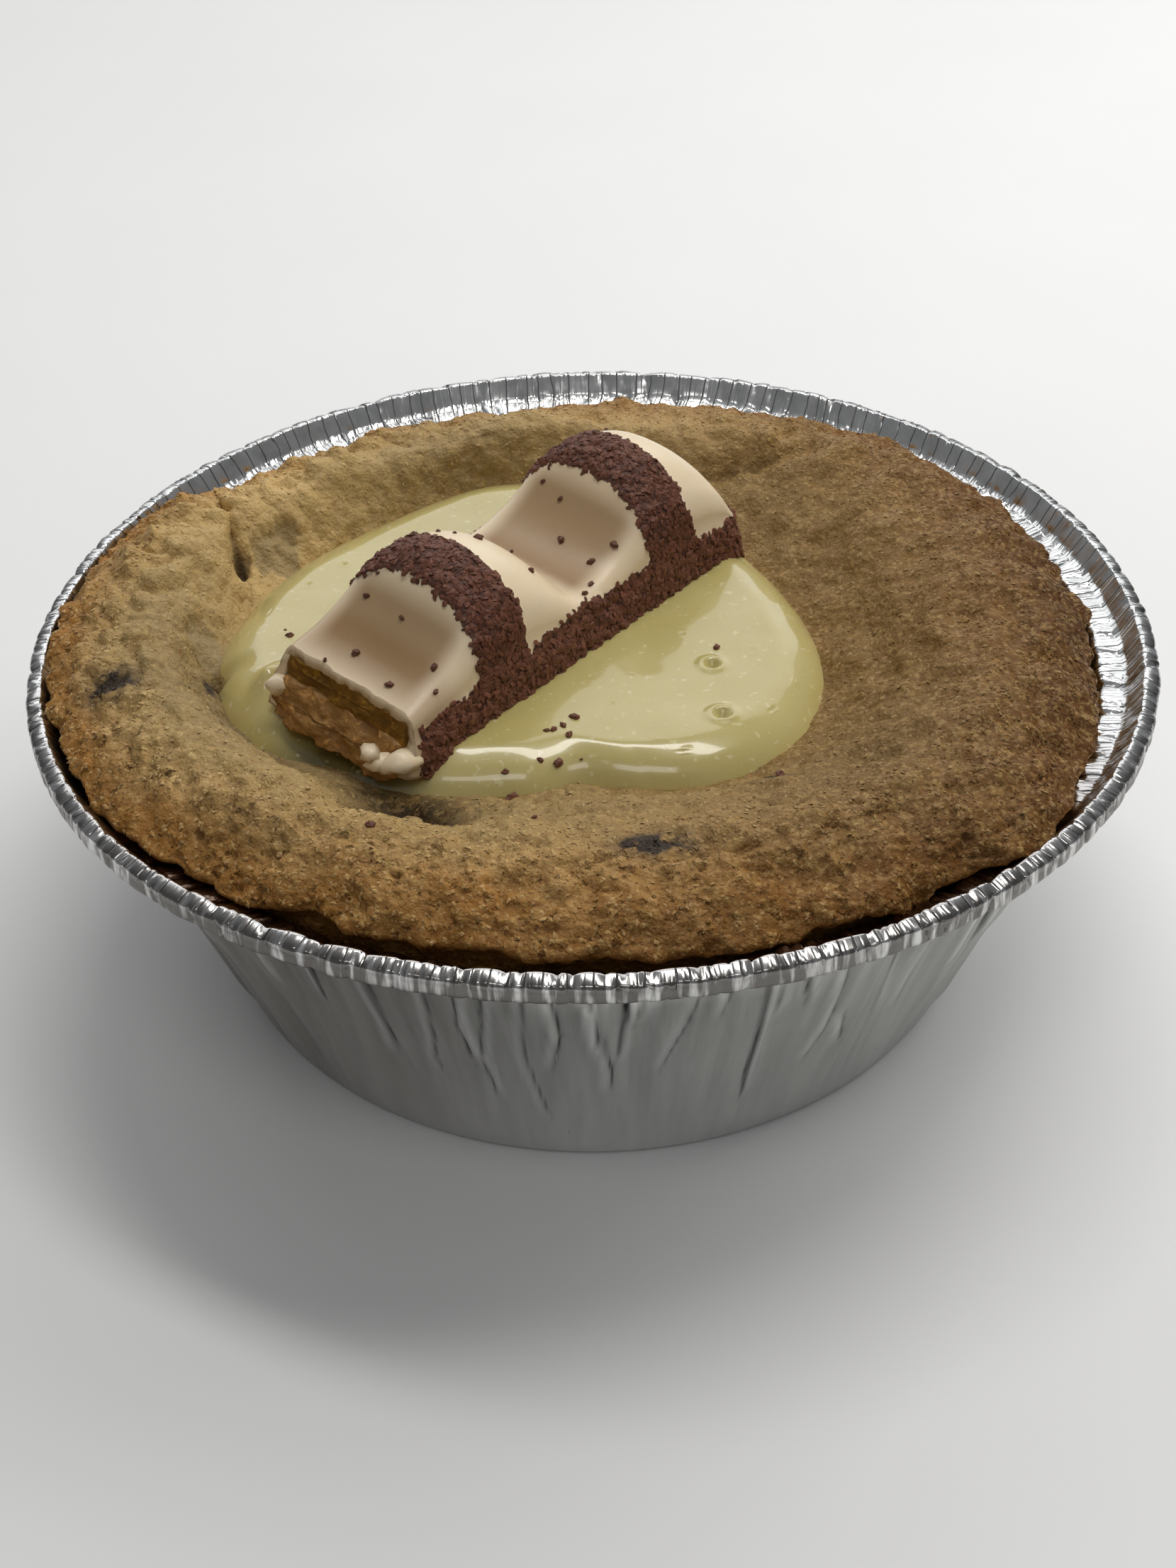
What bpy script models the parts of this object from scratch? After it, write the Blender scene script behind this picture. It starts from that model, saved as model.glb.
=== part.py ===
"""White chocolate cookie pie in its foil tin, with a piece of filled wafer bar set in the sauce.

Metres, +Z up. The origin is the centre of the tin's base, +X runs to the right and +Y away
from the front of the pie.
"""
import math
import random

import bmesh
import bpy
from mathutils import Matrix, Vector, noise

for leftover in list(bpy.data.objects):
    bpy.data.objects.remove(leftover)

MM = 0.001
SLIVER = 0.002 * MM

# Foil tin: a deep drawn pan with a flat ledge, a slanted step and a rolled bead
RIM_RADIUS = 61.0 * MM
RIM_TOP = 37.9 * MM
BASE_RADIUS = 42.9 * MM
BASE_CORNER = 1.2 * MM
WALL_SLOPE = math.radians(20.0)
FOIL = 0.4 * MM
LEDGE_TOP = 35.3 * MM
LEDGE_WIDTH = 2.6 * MM
STEP_WIDTH = 1.5 * MM
STEP_RISE = 1.7 * MM
SHOULDER = 1.4 * MM
BEAD_WIDTH = 1.7 * MM
BEAD_HEIGHT = 2.8 * MM
HEM_ROLL = 0.5 * MM
WALL_STATIONS = (24.0 * MM, 12.0 * MM)
TIN_STEPS = 90
CRIMP_DEPTH = 0.28 * MM
# Soft folds down the wall, which fade out towards the base and the shoulder
FOLD_COUNT = 26
FOLD_DEPTH = 0.6 * MM
FOLD_LEAN = 2.2
FOLD_WIDTHS = (0.04, 0.07)
FOLD_FADE = 8.0 * MM

# Cookie: its rim rises over the tin, and its top dips to hold the sauce
STEPS = 80
COOKIE_GAP = 0.8 * MM
COOKIE_LIFT = 0.3 * MM
BASIN_CENTRE = Vector((-8.0, 3.0)) * MM
FLOOR_Z = 31.6 * MM
SHORE_Z = 32.8 * MM
EDGE_ROLL = 0.9 * MM
NECK_DROP = 1.6 * MM
NECK_RADIUS = 53.5 * MM
NECK_INSET = 1.3 * MM
WALL_MEETS = 31.0 * MM
COOKIE_STATIONS = (22.0 * MM, 2.4 * MM)
COOKIE_FOOT = BASE_RADIUS - 2.6 * MM
CREST_SHARE = 0.82
BANK_CURVE = 1.3
BROW_CURVE = 2.2
RELIEF = 1.0 * MM
COARSE_CRAGS = 7.0 * MM
FINE_CRAGS = 3.2 * MM
# Outer edge of the dough about the tin's axis: (degrees from +X, radius in mm)
COOKIE_EDGE = (
    (0, 53.6), (30, 53.2), (60, 52.6), (90, 51.4), (120, 52.0), (148, 53.6), (165, 56.6),
    (182, 57.3), (198, 57.2), (212, 56.2), (228, 54.5), (245, 53.7), (270, 53.8), (300, 53.4),
    (316, 54.3), (338, 54.2),
)
# Height of that edge, and of the raised rim's top, about the tin's axis: (degrees, mm)
EDGE_HEIGHTS = (
    (0, 36.2), (90, 36.4), (150, 36.9), (182, 37.3), (208, 36.9), (228, 35.9), (270, 35.6), (315, 35.9),
)
CREST_HEIGHTS = (
    (0, 40.0), (45, 39.5), (90, 39.2), (135, 39.6), (180, 40.6), (225, 41.0), (270, 40.9), (315, 40.6),
)
# Hollows and cracks in the dough: (x, y, depth, half length, half width in mm, degrees from +X)
COOKIE_DIPS = (
    (-20.7, -25.6, 2.0, 6.5, 2.6, -25.0),
    (-40.0, 18.5, 2.6, 6.0, 1.9, 62.0),
    (-41.8, -3.5, 1.3, 3.0, 2.0, 70.0),
    (21.5, 35.0, 1.5, 6.0, 1.8, 2.0),
    (29.5, -46.0, 1.0, 2.6, 1.8, 40.0),
    (17.7, -44.9, 0.8, 2.4, 1.5, 10.0),
)
# Lumps of dough that stand up beside them: (x, y, height, half length, half width, degrees)
COOKIE_LUMPS = (
    (-23.0, -33.5, 0.9, 9.0, 3.2, -25.0),
    (-46.5, 13.0, 0.9, 6.0, 3.5, 75.0),
    (22.0, 31.0, 0.9, 7.0, 2.2, 5.0),
)

# Sauce: a thick pool with a rounded edge
SAUCE_LEVEL = 35.8 * MM
SAUCE_GAP = 0.4 * MM
SAUCE_LIP = 4.4 * MM
SAUCE_LEAST = 0.25 * MM
CUT_END_SAG = 1.5 * MM
CUT_END_REACH = 7.0 * MM
# Edge of the pool about the basin's centre: (degrees from +X, radius in mm)
SAUCE_EDGE = (
    (8, 33.0), (21, 32.2), (33, 31.6), (50, 32.6), (68, 33.6), (84, 34.2), (97, 34.3), (109, 33.4),
    (121, 31.2), (135, 29.6), (150, 30.5), (167, 32.2), (190, 33.6), (207, 32.1), (236, 30.1),
    (257, 28.9), (272, 27.3), (284, 26.3), (297, 29.9), (307, 32.7), (318, 34.5), (329, 35.0), (343, 34.4),
)

# Wafer bar: two humps, cut open at its near end
BAR_LENGTH = 56.2 * MM
BAR_WIDTH = 20.3 * MM
BAR_CORNER = Vector((-18.2, -23.7)) * MM
BAR_TURN = math.radians(49.4)
BAR_BASE = 34.0 * MM
BAR_TILT = 2.0 * MM
VALLEY_Z = 41.2 * MM
HUMP_RISE = 7.6 * MM
HUMPS = 2
HUMP_LENGTH = BAR_LENGTH / HUMPS
# Along a hump, as shares of it: the ridge at the scoop's end and the round crest behind it
RIDGE = 0.42
CREST = 0.57
RIDGE_HEIGHT = 0.78
SCOOP_CURVE = 2.1
BACK_CURVE = 2.4
TOP_EDGE_DROP = 1.3 * MM
END_DROP = 1.6 * MM
END_LENGTH = 3.0 * MM
COAT_SHARES = (0.0, 0.1, 0.19, 0.27, 0.35, 0.39, 0.42, 0.49, 0.57, 0.65, 0.68, 0.76, 0.84, 0.9, 0.96)
LAYER_SHARES = (0.0, 0.19, 0.32, 0.42, 0.57, 0.7, 0.81, 0.9)
CUT_LEAN = 2.4 * MM
CUT_FOOT = 0.8 * MM
SIDE_TAPER = 0.10
COAT_TOP = 1.1 * MM
COAT_SIDE = 1.3 * MM
COAT_BASE = 0.7 * MM
COAT_END = 1.6 * MM
CORNER_CHUNK = 2.2 * MM
CHUNK_FADE = (0.1, 0.65)
CAVITY_RUN_OUT = 4.0 * MM
WAFER = 1.3 * MM
LAYER_GAP = 0.35 * MM
CRUMB_COAT = 0.4 * MM
BAND_START = 11.5 * MM
BAND_END = 18.7 * MM
BAND_BLEND = 0.6 * MM
STRIP_FOOT = 37.4 * MM
STRIP_TOP = 40.6 * MM
STRIP_FADE = (0.55, 0.8)

# Crumbs of dark wafer: the grains that show most
GRAIN_SIZE = Vector((0.75, 0.5, 0.32)) * MM
BAND_GRAINS = 13
STRIP_GRAINS = 12
# Loose grains on the white coating: (along the bar, across it, in mm)
LOOSE_ON_BAR = (
    (3.4, 6.2), (4.6, 12.0), (7.4, 3.6), (9.8, 15.2), (9.6, 10.0), (22.6, 11.0), (24.4, 5.2),
    (34.2, 9.4), (33.6, 4.6), (36.4, 3.6), (37.8, 12.4),
)
# Loose grains on the sauce and on the dough: (x, y in mm)
LOOSE_ON_SAUCE = (
    (-33.3, 2.0), (-2.0, -14.7), (-4.2, -16.9), (-3.8, -20.3), (-9.2, -21.2), (13.6, -2.4),
)
LOOSE_ON_COOKIE = ((-21.5, -34.9), (18.3, -27.6))


def smooth(low, high, value):
    """Zero below low, one above high and a soft step between them."""
    t = min(max((value - low) / (high - low), 0.0), 1.0)
    return t * t * (3.0 - 2.0 * t)


def around(stations, angle):
    """Smooth closed curve through stations of (degrees, mm), read at an angle in radians."""
    turn = math.degrees(angle)
    count = len(stations)
    for i, (start, here) in enumerate(stations):
        end, following = stations[(i + 1) % count]
        span = (end - start) % 360.0
        offset = (turn - start) % 360.0
        if offset <= span:
            t = offset / span
            before = stations[i - 1][1]
            beyond = stations[(i + 2) % count][1]
            rise = (following - before) / 2.0
            fall = (beyond - here) / 2.0
            jump = following - here
            bend = (3 * jump - 2 * rise - fall) * t ** 2
            twist = (rise + fall - 2 * jump) * t ** 3
            return (here + rise * t + bend + twist) * MM
    return stations[0][1] * MM


def oval(x, y, centre_x, centre_y, half_length, half_width, degrees):
    """Soft bell over an oval patch, one at its centre."""
    turn = math.radians(degrees)
    dx = x - centre_x * MM
    dy = y - centre_y * MM
    along = (dx * math.cos(turn) + dy * math.sin(turn)) / (half_length * MM)
    across = (dy * math.cos(turn) - dx * math.sin(turn)) / (half_width * MM)
    return math.exp(-along ** 2 - across ** 2)


def material(name, colour, roughness, metallic=0.0):
    finish = bpy.data.materials.new(name)
    finish.use_nodes = True
    shader = finish.node_tree.nodes["Principled BSDF"]
    shader.inputs["Base Color"].default_value = (*colour, 1.0)
    shader.inputs["Roughness"].default_value = roughness
    shader.inputs["Metallic"].default_value = metallic
    return finish


def place(name, mesh, collection, finish=None):
    """New object from a mesh, in a collection and with its material."""
    thing = bpy.data.objects.new(name, mesh)
    collection.objects.link(thing)
    if finish:
        mesh.materials.clear()
        mesh.materials.append(finish)
    return thing


def mesh_from(shape, name):
    """Close a bmesh into a smooth-shaded mesh."""
    bmesh.ops.recalc_face_normals(shape, faces=shape.faces)
    mesh = bpy.data.meshes.new(name)
    shape.to_mesh(mesh)
    shape.free()
    mesh.shade_smooth()
    mesh.set_sharp_from_angle(angle=math.radians(40.0))
    return mesh


def loft(name, first, rings, last):
    """Closed solid from a first point, through rings of equal count, to a last point."""
    shape = bmesh.new()
    loops = [[shape.verts.new(point) for point in ring] for ring in rings]
    count = len(rings[0])
    start = shape.verts.new(first)
    end = shape.verts.new(last)
    for j in range(count):
        k = (j + 1) % count
        shape.faces.new((start, loops[0][j], loops[0][k]))
        for inner, outer in zip(loops, loops[1:]):
            shape.faces.new((inner[j], outer[j], outer[k], inner[k]))
        shape.faces.new((end, loops[-1][k], loops[-1][j]))
    return mesh_from(shape, name)


def apply_modifiers(thing):
    """Replace an object's mesh by what its modifiers make of it."""
    graph = bpy.context.evaluated_depsgraph_get()
    finished = bpy.data.meshes.new_from_object(thing.evaluated_get(graph))
    thing.modifiers.clear()
    thing.data = finished


def combine(thing, operation, other=None, group=None):
    """Apply one exact Boolean with an object or with a collection of objects."""
    step = thing.modifiers.new(operation.title(), "BOOLEAN")
    step.operation = operation
    step.solver = "EXACT"
    if group:
        step.operand_type = "COLLECTION"
        step.collection = group
    else:
        step.object = other
    apply_modifiers(thing)


def tidy_solid(thing):
    """Merge the slivers that a Boolean leaves and keep the largest closed body."""
    shape = bmesh.new()
    shape.from_mesh(thing.data)
    bmesh.ops.remove_doubles(shape, verts=shape.verts, dist=SLIVER)
    bmesh.ops.dissolve_degenerate(shape, edges=shape.edges, dist=SLIVER)
    bmesh.ops.triangulate(shape, faces=shape.faces)
    unseen = set(shape.verts)
    bodies = []
    while unseen:
        body = {unseen.pop()}
        front = list(body)
        while front:
            corner = front.pop()
            near = {edge.other_vert(corner) for edge in corner.link_edges} - body
            body |= near
            front.extend(near)
        unseen -= body
        bodies.append(body)
    largest = max(bodies, key=len)
    scraps = [corner for corner in shape.verts if corner not in largest]
    bmesh.ops.delete(shape, geom=scraps, context="VERTS")
    shape.to_mesh(thing.data)
    shape.free()


# Foil tin


def wall_radius(z):
    """Outer radius of the tin's wall at a height."""
    return BASE_RADIUS + z * math.tan(WALL_SLOPE)


def arc(centre_x, centre_z, radius, start, end, pieces):
    """Points on a round corner of a section, from one angle in degrees to another."""
    points = []
    for i in range(pieces + 1):
        turn = math.radians(start + (end - start) * i / pieces)
        points.append((centre_x + radius * math.cos(turn), centre_z + radius * math.sin(turn)))
    return points


def tin_profile():
    """Closed section: over the bead, down the outer face, along the base and back up inside."""
    step_out = RIM_RADIUS - BEAD_WIDTH
    ledge_out = step_out - STEP_WIDTH
    ledge_in = ledge_out - LEDGE_WIDTH
    under = LEDGE_TOP - FOIL
    shoulder_z = under - SHOULDER
    flat = BASE_RADIUS - BASE_CORNER - FOIL
    roll = BEAD_WIDTH / 2.0
    hem_z = RIM_TOP - BEAD_HEIGHT + HEM_ROLL
    section = arc(RIM_RADIUS - roll, RIM_TOP - roll, roll, 180.0, 0.0, 4)
    section += arc(RIM_RADIUS - HEM_ROLL, hem_z, HEM_ROLL, 0.0, -90.0, 2)
    section += [(step_out, LEDGE_TOP + FOIL), (ledge_out + FOIL, under), (ledge_in + FOIL, under)]
    section += [(wall_radius(z), z) for z in (shoulder_z, *WALL_STATIONS, BASE_CORNER)]
    section += [(flat + 2.0 * FOIL, FOIL / 2.0), (flat, 0.0), (0.0, 0.0), (0.0, FOIL), (flat, FOIL)]
    inside = (BASE_CORNER + FOIL / 2.0, *reversed(WALL_STATIONS), shoulder_z)
    section += [(wall_radius(z) - FOIL, z) for z in inside]
    section += [(ledge_in, LEDGE_TOP), (ledge_out, LEDGE_TOP)]
    return section


def foil_folds():
    """Seeded folds of the wall: the angle, lean, half width and depth of each."""
    draw = random.Random(14)
    folds = []
    for i in range(FOLD_COUNT):
        angle = math.tau * (i + draw.uniform(-0.35, 0.35)) / FOLD_COUNT
        lean = draw.uniform(-FOLD_LEAN, FOLD_LEAN)
        width = draw.uniform(*FOLD_WIDTHS)
        depth = FOLD_DEPTH * draw.uniform(-0.7, 1.0)
        folds.append((angle, lean, width, depth))
    return folds


def crimp_dips():
    """Seeded inward dips of the rim, one for each station round the tin."""
    draw = random.Random(5)
    dips = []
    for i in range(TIN_STEPS):
        pinched = i % 2 == 1
        dips.append(CRIMP_DEPTH * draw.uniform(0.35, 1.0) if pinched else 0.0)
    return dips


def fold_shift(angle, height, folds, rim_foot):
    """How far the wall stands out or in at a place, by its folds."""
    rising = smooth(0.0, FOLD_FADE, height)
    falling = 1.0 - smooth(rim_foot - 0.75 * FOLD_FADE, rim_foot, height)
    shift = 0.0
    for centre, lean, width, depth in folds:
        leaned = centre + lean * (height - RIM_TOP / 2.0)
        away = (angle - leaned + math.pi) % math.tau - math.pi
        shift += rising * falling * depth * math.exp(-(away / width) ** 2)
    return shift


def build_tin(collection, finish):
    """Turned shell of foil, then crimped at the rim and folded down the wall."""
    mesh = bpy.data.meshes.new("foil_tin")
    points = [(radius, 0.0, height) for radius, height in tin_profile()]
    edges = [(i, (i + 1) % len(points)) for i in range(len(points))]
    mesh.from_pydata(points, edges, [])
    tin = place("foil_tin", mesh, collection)
    turn = tin.modifiers.new("Turn", "SCREW")
    turn.steps = TIN_STEPS
    turn.render_steps = TIN_STEPS
    turn.use_merge_vertices = True
    turn.merge_threshold = 0.01 * MM
    apply_modifiers(tin)
    folds = foil_folds()
    dips = crimp_dips()
    shape = bmesh.new()
    shape.from_mesh(tin.data)
    bmesh.ops.remove_doubles(shape, verts=shape.verts, dist=0.01 * MM)
    rim_foot = LEDGE_TOP - 2.0 * FOIL - SHOULDER
    for corner in shape.verts:
        radius = corner.co.xy.length
        if radius < BASE_RADIUS - 2.5 * BASE_CORNER:
            continue
        angle = math.atan2(corner.co.y, corner.co.x) % math.tau
        shift = fold_shift(angle, corner.co.z, folds, rim_foot)
        if corner.co.z > rim_foot:
            shift -= dips[round(angle / math.tau * TIN_STEPS) % TIN_STEPS]
        corner.co.xy *= (radius + shift) / radius
    tin.data = mesh_from(shape, "foil_tin")
    tin.data.materials.append(finish)


# Cookie


def reach(turn, radius_at):
    """Distance from the basin's centre, in one direction, to a curve round the tin's axis."""
    heading = Vector((math.cos(turn), math.sin(turn)))
    along = BASIN_CENTRE.dot(heading)
    distance = NECK_RADIUS
    for _ in range(10):
        point = BASIN_CENTRE + heading * distance
        radius = radius_at(math.atan2(point.y, point.x))
        distance = math.sqrt(along ** 2 - BASIN_CENTRE.length_squared + radius ** 2) - along
    return distance


def cookie_edge(angle):
    return around(COOKIE_EDGE, angle)


def cookie_crest(angle):
    return CREST_SHARE * cookie_edge(angle)


def cookie_neck(angle):
    """Radius where the dough leaves the tin's wall, under its overhanging edge."""
    return min(cookie_edge(angle) - NECK_INSET, NECK_RADIUS)


def sauce_edge(turn):
    return around(SAUCE_EDGE, turn)


def cookie_top(x, y):
    """Height of the dough: a shallow floor, a slope up to the crest and a rounded outer edge."""
    offset = Vector((x, y)) - BASIN_CENTRE
    turn = math.atan2(offset.y, offset.x)
    angle = math.atan2(y, x)
    shore = sauce_edge(turn)
    crest = reach(turn, cookie_crest)
    edge = reach(turn, cookie_edge)
    crest_z = around(CREST_HEIGHTS, angle)
    distance = offset.length
    if distance < shore:
        height = FLOOR_Z + (SHORE_Z - FLOOR_Z) * (distance / shore) ** 2
    elif distance < crest:
        share = (distance - shore) / (crest - shore)
        height = SHORE_Z + (crest_z - SHORE_Z) * math.sin(share * math.pi / 2.0) ** BANK_CURVE
    else:
        share = min((distance - crest) / (edge - crest), 1.0)
        height = crest_z - (crest_z - around(EDGE_HEIGHTS, angle)) * share ** BROW_CURVE
    baked = smooth(0.97 * shore, 1.15 * shore, distance)
    for centre_x, centre_y, depth, long, wide, degrees in COOKIE_DIPS:
        height -= depth * MM * oval(x, y, centre_x, centre_y, long, wide, degrees)
    for centre_x, centre_y, rise, long, wide, degrees in COOKIE_LUMPS:
        height += baked * rise * MM * oval(x, y, centre_x, centre_y, long, wide, degrees)
    coarse = noise.noise(Vector((x, y, 0.0)) / COARSE_CRAGS)
    fine = noise.noise(Vector((x, y, 0.02)) / FINE_CRAGS)
    return height + baked * RELIEF * (coarse + 0.6 * fine)


def top_ring(distance_at):
    """Ring of points on the dough's top, at a distance from the basin's centre for each direction."""
    ring = []
    for j in range(STEPS):
        turn = math.tau * j / STEPS
        point = BASIN_CENTRE + Vector((math.cos(turn), math.sin(turn))) * distance_at(turn)
        ring.append(Vector((point.x, point.y, cookie_top(point.x, point.y))))
    return ring


def side_ring(radius_at, height_at):
    """Ring of points at a radius from the tin's axis, at a height for each angle."""
    ring = []
    for j in range(STEPS):
        turn = math.tau * j / STEPS
        point = BASIN_CENTRE + Vector((math.cos(turn), math.sin(turn))) * reach(turn, radius_at)
        ring.append(Vector((point.x, point.y, height_at(math.atan2(point.y, point.x)))))
    return ring


def inside_wall(height):
    """Radius of the dough where it lies against the tin."""
    return wall_radius(height) - FOIL - COOKIE_GAP


def build_cookie(collection, finish):
    """Loft from the basin's centre out over the rim and down the inside of the tin."""

    def bank(turn, share):
        shore = sauce_edge(turn)
        return shore + share * (reach(turn, cookie_crest) - shore)

    def brow(turn, share):
        crest = reach(turn, cookie_crest)
        return crest + share * (reach(turn, cookie_edge) - crest)

    rings = [top_ring(lambda turn, share=share: share * sauce_edge(turn)) for share in (0.5, 1.0)]
    for share in (0.12, 0.28, 0.46, 0.64, 0.82, 1.0):
        rings.append(top_ring(lambda turn, share=share: bank(turn, share)))
    for share in (0.3, 0.55, 0.75, 0.9):
        rings.append(top_ring(lambda turn, share=share: brow(turn, share)))
    for inset, drop in ((0.0, 0.0), (0.5 * MM, EDGE_ROLL)):
        rings.append(side_ring(
            lambda angle, inset=inset: cookie_edge(angle) - inset,
            lambda angle, drop=drop: around(EDGE_HEIGHTS, angle) - drop))
    rings.append(side_ring(cookie_neck, lambda angle: around(EDGE_HEIGHTS, angle) - NECK_DROP))
    rings.append(side_ring(
        lambda angle: min(cookie_neck(angle), inside_wall(WALL_MEETS)), lambda angle: WALL_MEETS))
    for height in COOKIE_STATIONS:
        rings.append(side_ring(
            lambda angle, height=height: inside_wall(height), lambda angle, height=height: height))
    base = FOIL + COOKIE_LIFT
    rings.append(side_ring(lambda angle: COOKIE_FOOT, lambda angle: base))
    centre = Vector((BASIN_CENTRE.x, BASIN_CENTRE.y, cookie_top(*BASIN_CENTRE)))
    mesh = loft("cookie", centre, rings, Vector((0.0, 0.0, base)))
    return place("cookie", mesh, collection, finish)


# Sauce


def sauce_top(x, y):
    """Height of the sauce: a level pool that rounds over to its edge and sags at the bar's cut end."""
    offset = Vector((x, y)) - BASIN_CENTRE
    turn = math.atan2(offset.y, offset.x)
    shore = sauce_edge(turn)
    contact = SHORE_Z + SAUCE_GAP
    inset = min(max(shore - offset.length, 0.0) / SAUCE_LIP, 1.0)
    height = contact + (SAUCE_LEVEL - contact) * math.sqrt(1.0 - (1.0 - inset) ** 2)
    cut_end = bar_point(-CUT_FOOT, BAR_WIDTH / 2.0, 0.0)
    nearness = (Vector((x, y)) - cut_end.xy).length / CUT_END_REACH
    sag = CUT_END_SAG * math.exp(-nearness ** 2)
    floor = cookie_top(x, y) + SAUCE_GAP
    return max(height - sag, floor + SAUCE_LEAST)


def build_sauce(collection, finish, bar_space):
    """Lens of sauce on the basin's floor, cut round the bar."""

    def above_ring(distance_at):
        return [Vector((p.x, p.y, sauce_top(p.x, p.y))) for p in top_ring(distance_at)]

    def below_ring(distance_at):
        return [Vector((p.x, p.y, p.z + SAUCE_GAP)) for p in top_ring(distance_at)]

    top = [above_ring(lambda turn, share=share: share * sauce_edge(turn)) for share in (0.3, 0.62)]
    for share in (1.5, 0.9, 0.5, 0.22, 0.06):
        top.append(above_ring(lambda turn, share=share: sauce_edge(turn) - share * SAUCE_LIP))
    bottom = [below_ring(lambda turn, share=share: share * sauce_edge(turn)) for share in (0.99, 0.5)]
    centre = BASIN_CENTRE
    above = Vector((centre.x, centre.y, sauce_top(*centre)))
    below = Vector((centre.x, centre.y, cookie_top(*centre) + SAUCE_GAP))
    sauce = place("sauce", loft("sauce", above, top + bottom, below), collection, finish)
    combine(sauce, "DIFFERENCE", bar_space)
    tidy_solid(sauce)
    return sauce


# Wafer bar


def bar_point(along, across, height):
    """Place in the pie of a point of the bar: along and across it from its near front corner, and up."""
    x = BAR_CORNER.x + along * math.cos(BAR_TURN) - across * math.sin(BAR_TURN)
    y = BAR_CORNER.y + along * math.sin(BAR_TURN) + across * math.cos(BAR_TURN)
    return Vector((x, y, height + BAR_TILT * across / BAR_WIDTH))


def wave(along):
    """Height share of the humps: a hollow scoop up to a ridge, a round crest and a full back."""
    share = (max(along, 0.0) / HUMP_LENGTH) % 1.0
    if share < RIDGE:
        return RIDGE_HEIGHT * (share / RIDGE) ** SCOOP_CURVE
    if share < CREST:
        return 1.0 - (1.0 - RIDGE_HEIGHT) * ((CREST - share) / (CREST - RIDGE)) ** 2
    return 1.0 - ((share - CREST) / (1.0 - CREST)) ** BACK_CURVE


def bar_top(along, across):
    """Height of the smooth coating's top."""
    side = min(abs(2.0 * across / BAR_WIDTH - 1.0), 1.0)
    arch = (1.0 - side ** 2.5) ** 0.7
    hump = 0.0 if along >= BAR_LENGTH else HUMP_RISE * wave(along) * arch
    rounded = TOP_EDGE_DROP * smooth(0.86, 1.0, side) ** 2
    end = END_DROP * smooth(BAR_LENGTH - END_LENGTH, BAR_LENGTH, along)
    return VALLEY_Z + hump - rounded - end


def on_bar(along, across, top):
    """Point of the bar's top, with the direction that faces away from it there."""
    step = 0.2 * MM
    spot = bar_point(along, across, top(along, across))
    lengthwise = bar_point(along + step, across, top(along + step, across)) - spot
    sideways = bar_point(along, across + step, top(along, across + step)) - spot
    return spot, lengthwise.cross(sideways)


def in_band(along):
    """One on the crumb band over each hump, zero on the bare coating."""
    place_on_hump = along % HUMP_LENGTH
    start = smooth(BAND_START - BAND_BLEND, BAND_START + BAND_BLEND, place_on_hump)
    end = smooth(BAND_END - BAND_BLEND, BAND_END + BAND_BLEND, place_on_hump)
    return start * (1.0 - end)


def hump_stations(shares, start, end):
    """Places along the bar at the same shares of each hump, between a start and an end."""
    places = [(hump + share) * HUMP_LENGTH for hump in range(HUMPS) for share in shares]
    inside = [place_along for place_along in places if start + 0.5 * MM < place_along < end - 0.5 * MM]
    return [start] + inside + [end]


def lattice(stations, rows, layers):
    """Unit cube cut at stations along X, into rows across Y and layers up Z."""
    shape = bmesh.new()
    bmesh.ops.create_cube(shape, size=1.0, matrix=Matrix.Translation((0.5, 0.5, 0.5)))
    length = stations[-1] - stations[0]
    cuts = [(((station - stations[0]) / length, 0, 0), (1, 0, 0)) for station in stations[1:-1]]
    cuts += [((0, 0.5 - 0.5 * math.cos(math.pi * row / rows), 0), (0, 1, 0)) for row in range(1, rows)]
    cuts += [((0, 0, layer / layers), (0, 0, 1)) for layer in range(1, layers)]
    for origin, normal in cuts:
        everything = shape.verts[:] + shape.edges[:] + shape.faces[:]
        bmesh.ops.bisect_plane(shape, geom=everything, plane_co=origin, plane_no=normal, dist=1e-6)
    return shape


def shaped_block(name, stations, rows, layers, near, far, floor, top):
    """Lattice shaped along the bar by functions for its two sides, its floor and its top."""
    shape = lattice(stations, rows, layers)
    under = [edge for edge in shape.edges
             if all(corner.co.z < 1e-6 for face in edge.link_faces for corner in face.verts)]
    start = stations[0]
    for corner in shape.verts:
        share, side, rise = corner.co
        along = start + (stations[-1] - start) * share
        low = near(rise)
        high = far(rise)
        across = low + (high - low) * side
        height = floor(along, across) + (top(along, across) - floor(along, across)) * rise
        if share < 1e-6 and start >= 0.0:
            along += cut_shift(height)
        corner.co = bar_point(along, across, height)
    shape.normal_update()
    bmesh.ops.dissolve_limit(shape, angle_limit=math.radians(0.5), edges=under)
    return mesh_from(shape, name)


def cut_shift(height):
    """Lean of the cut end: its foot stands out and its top stands back."""
    return CUT_LEAN * (height - BAR_BASE) / (VALLEY_Z - BAR_BASE) - CUT_FOOT


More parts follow.
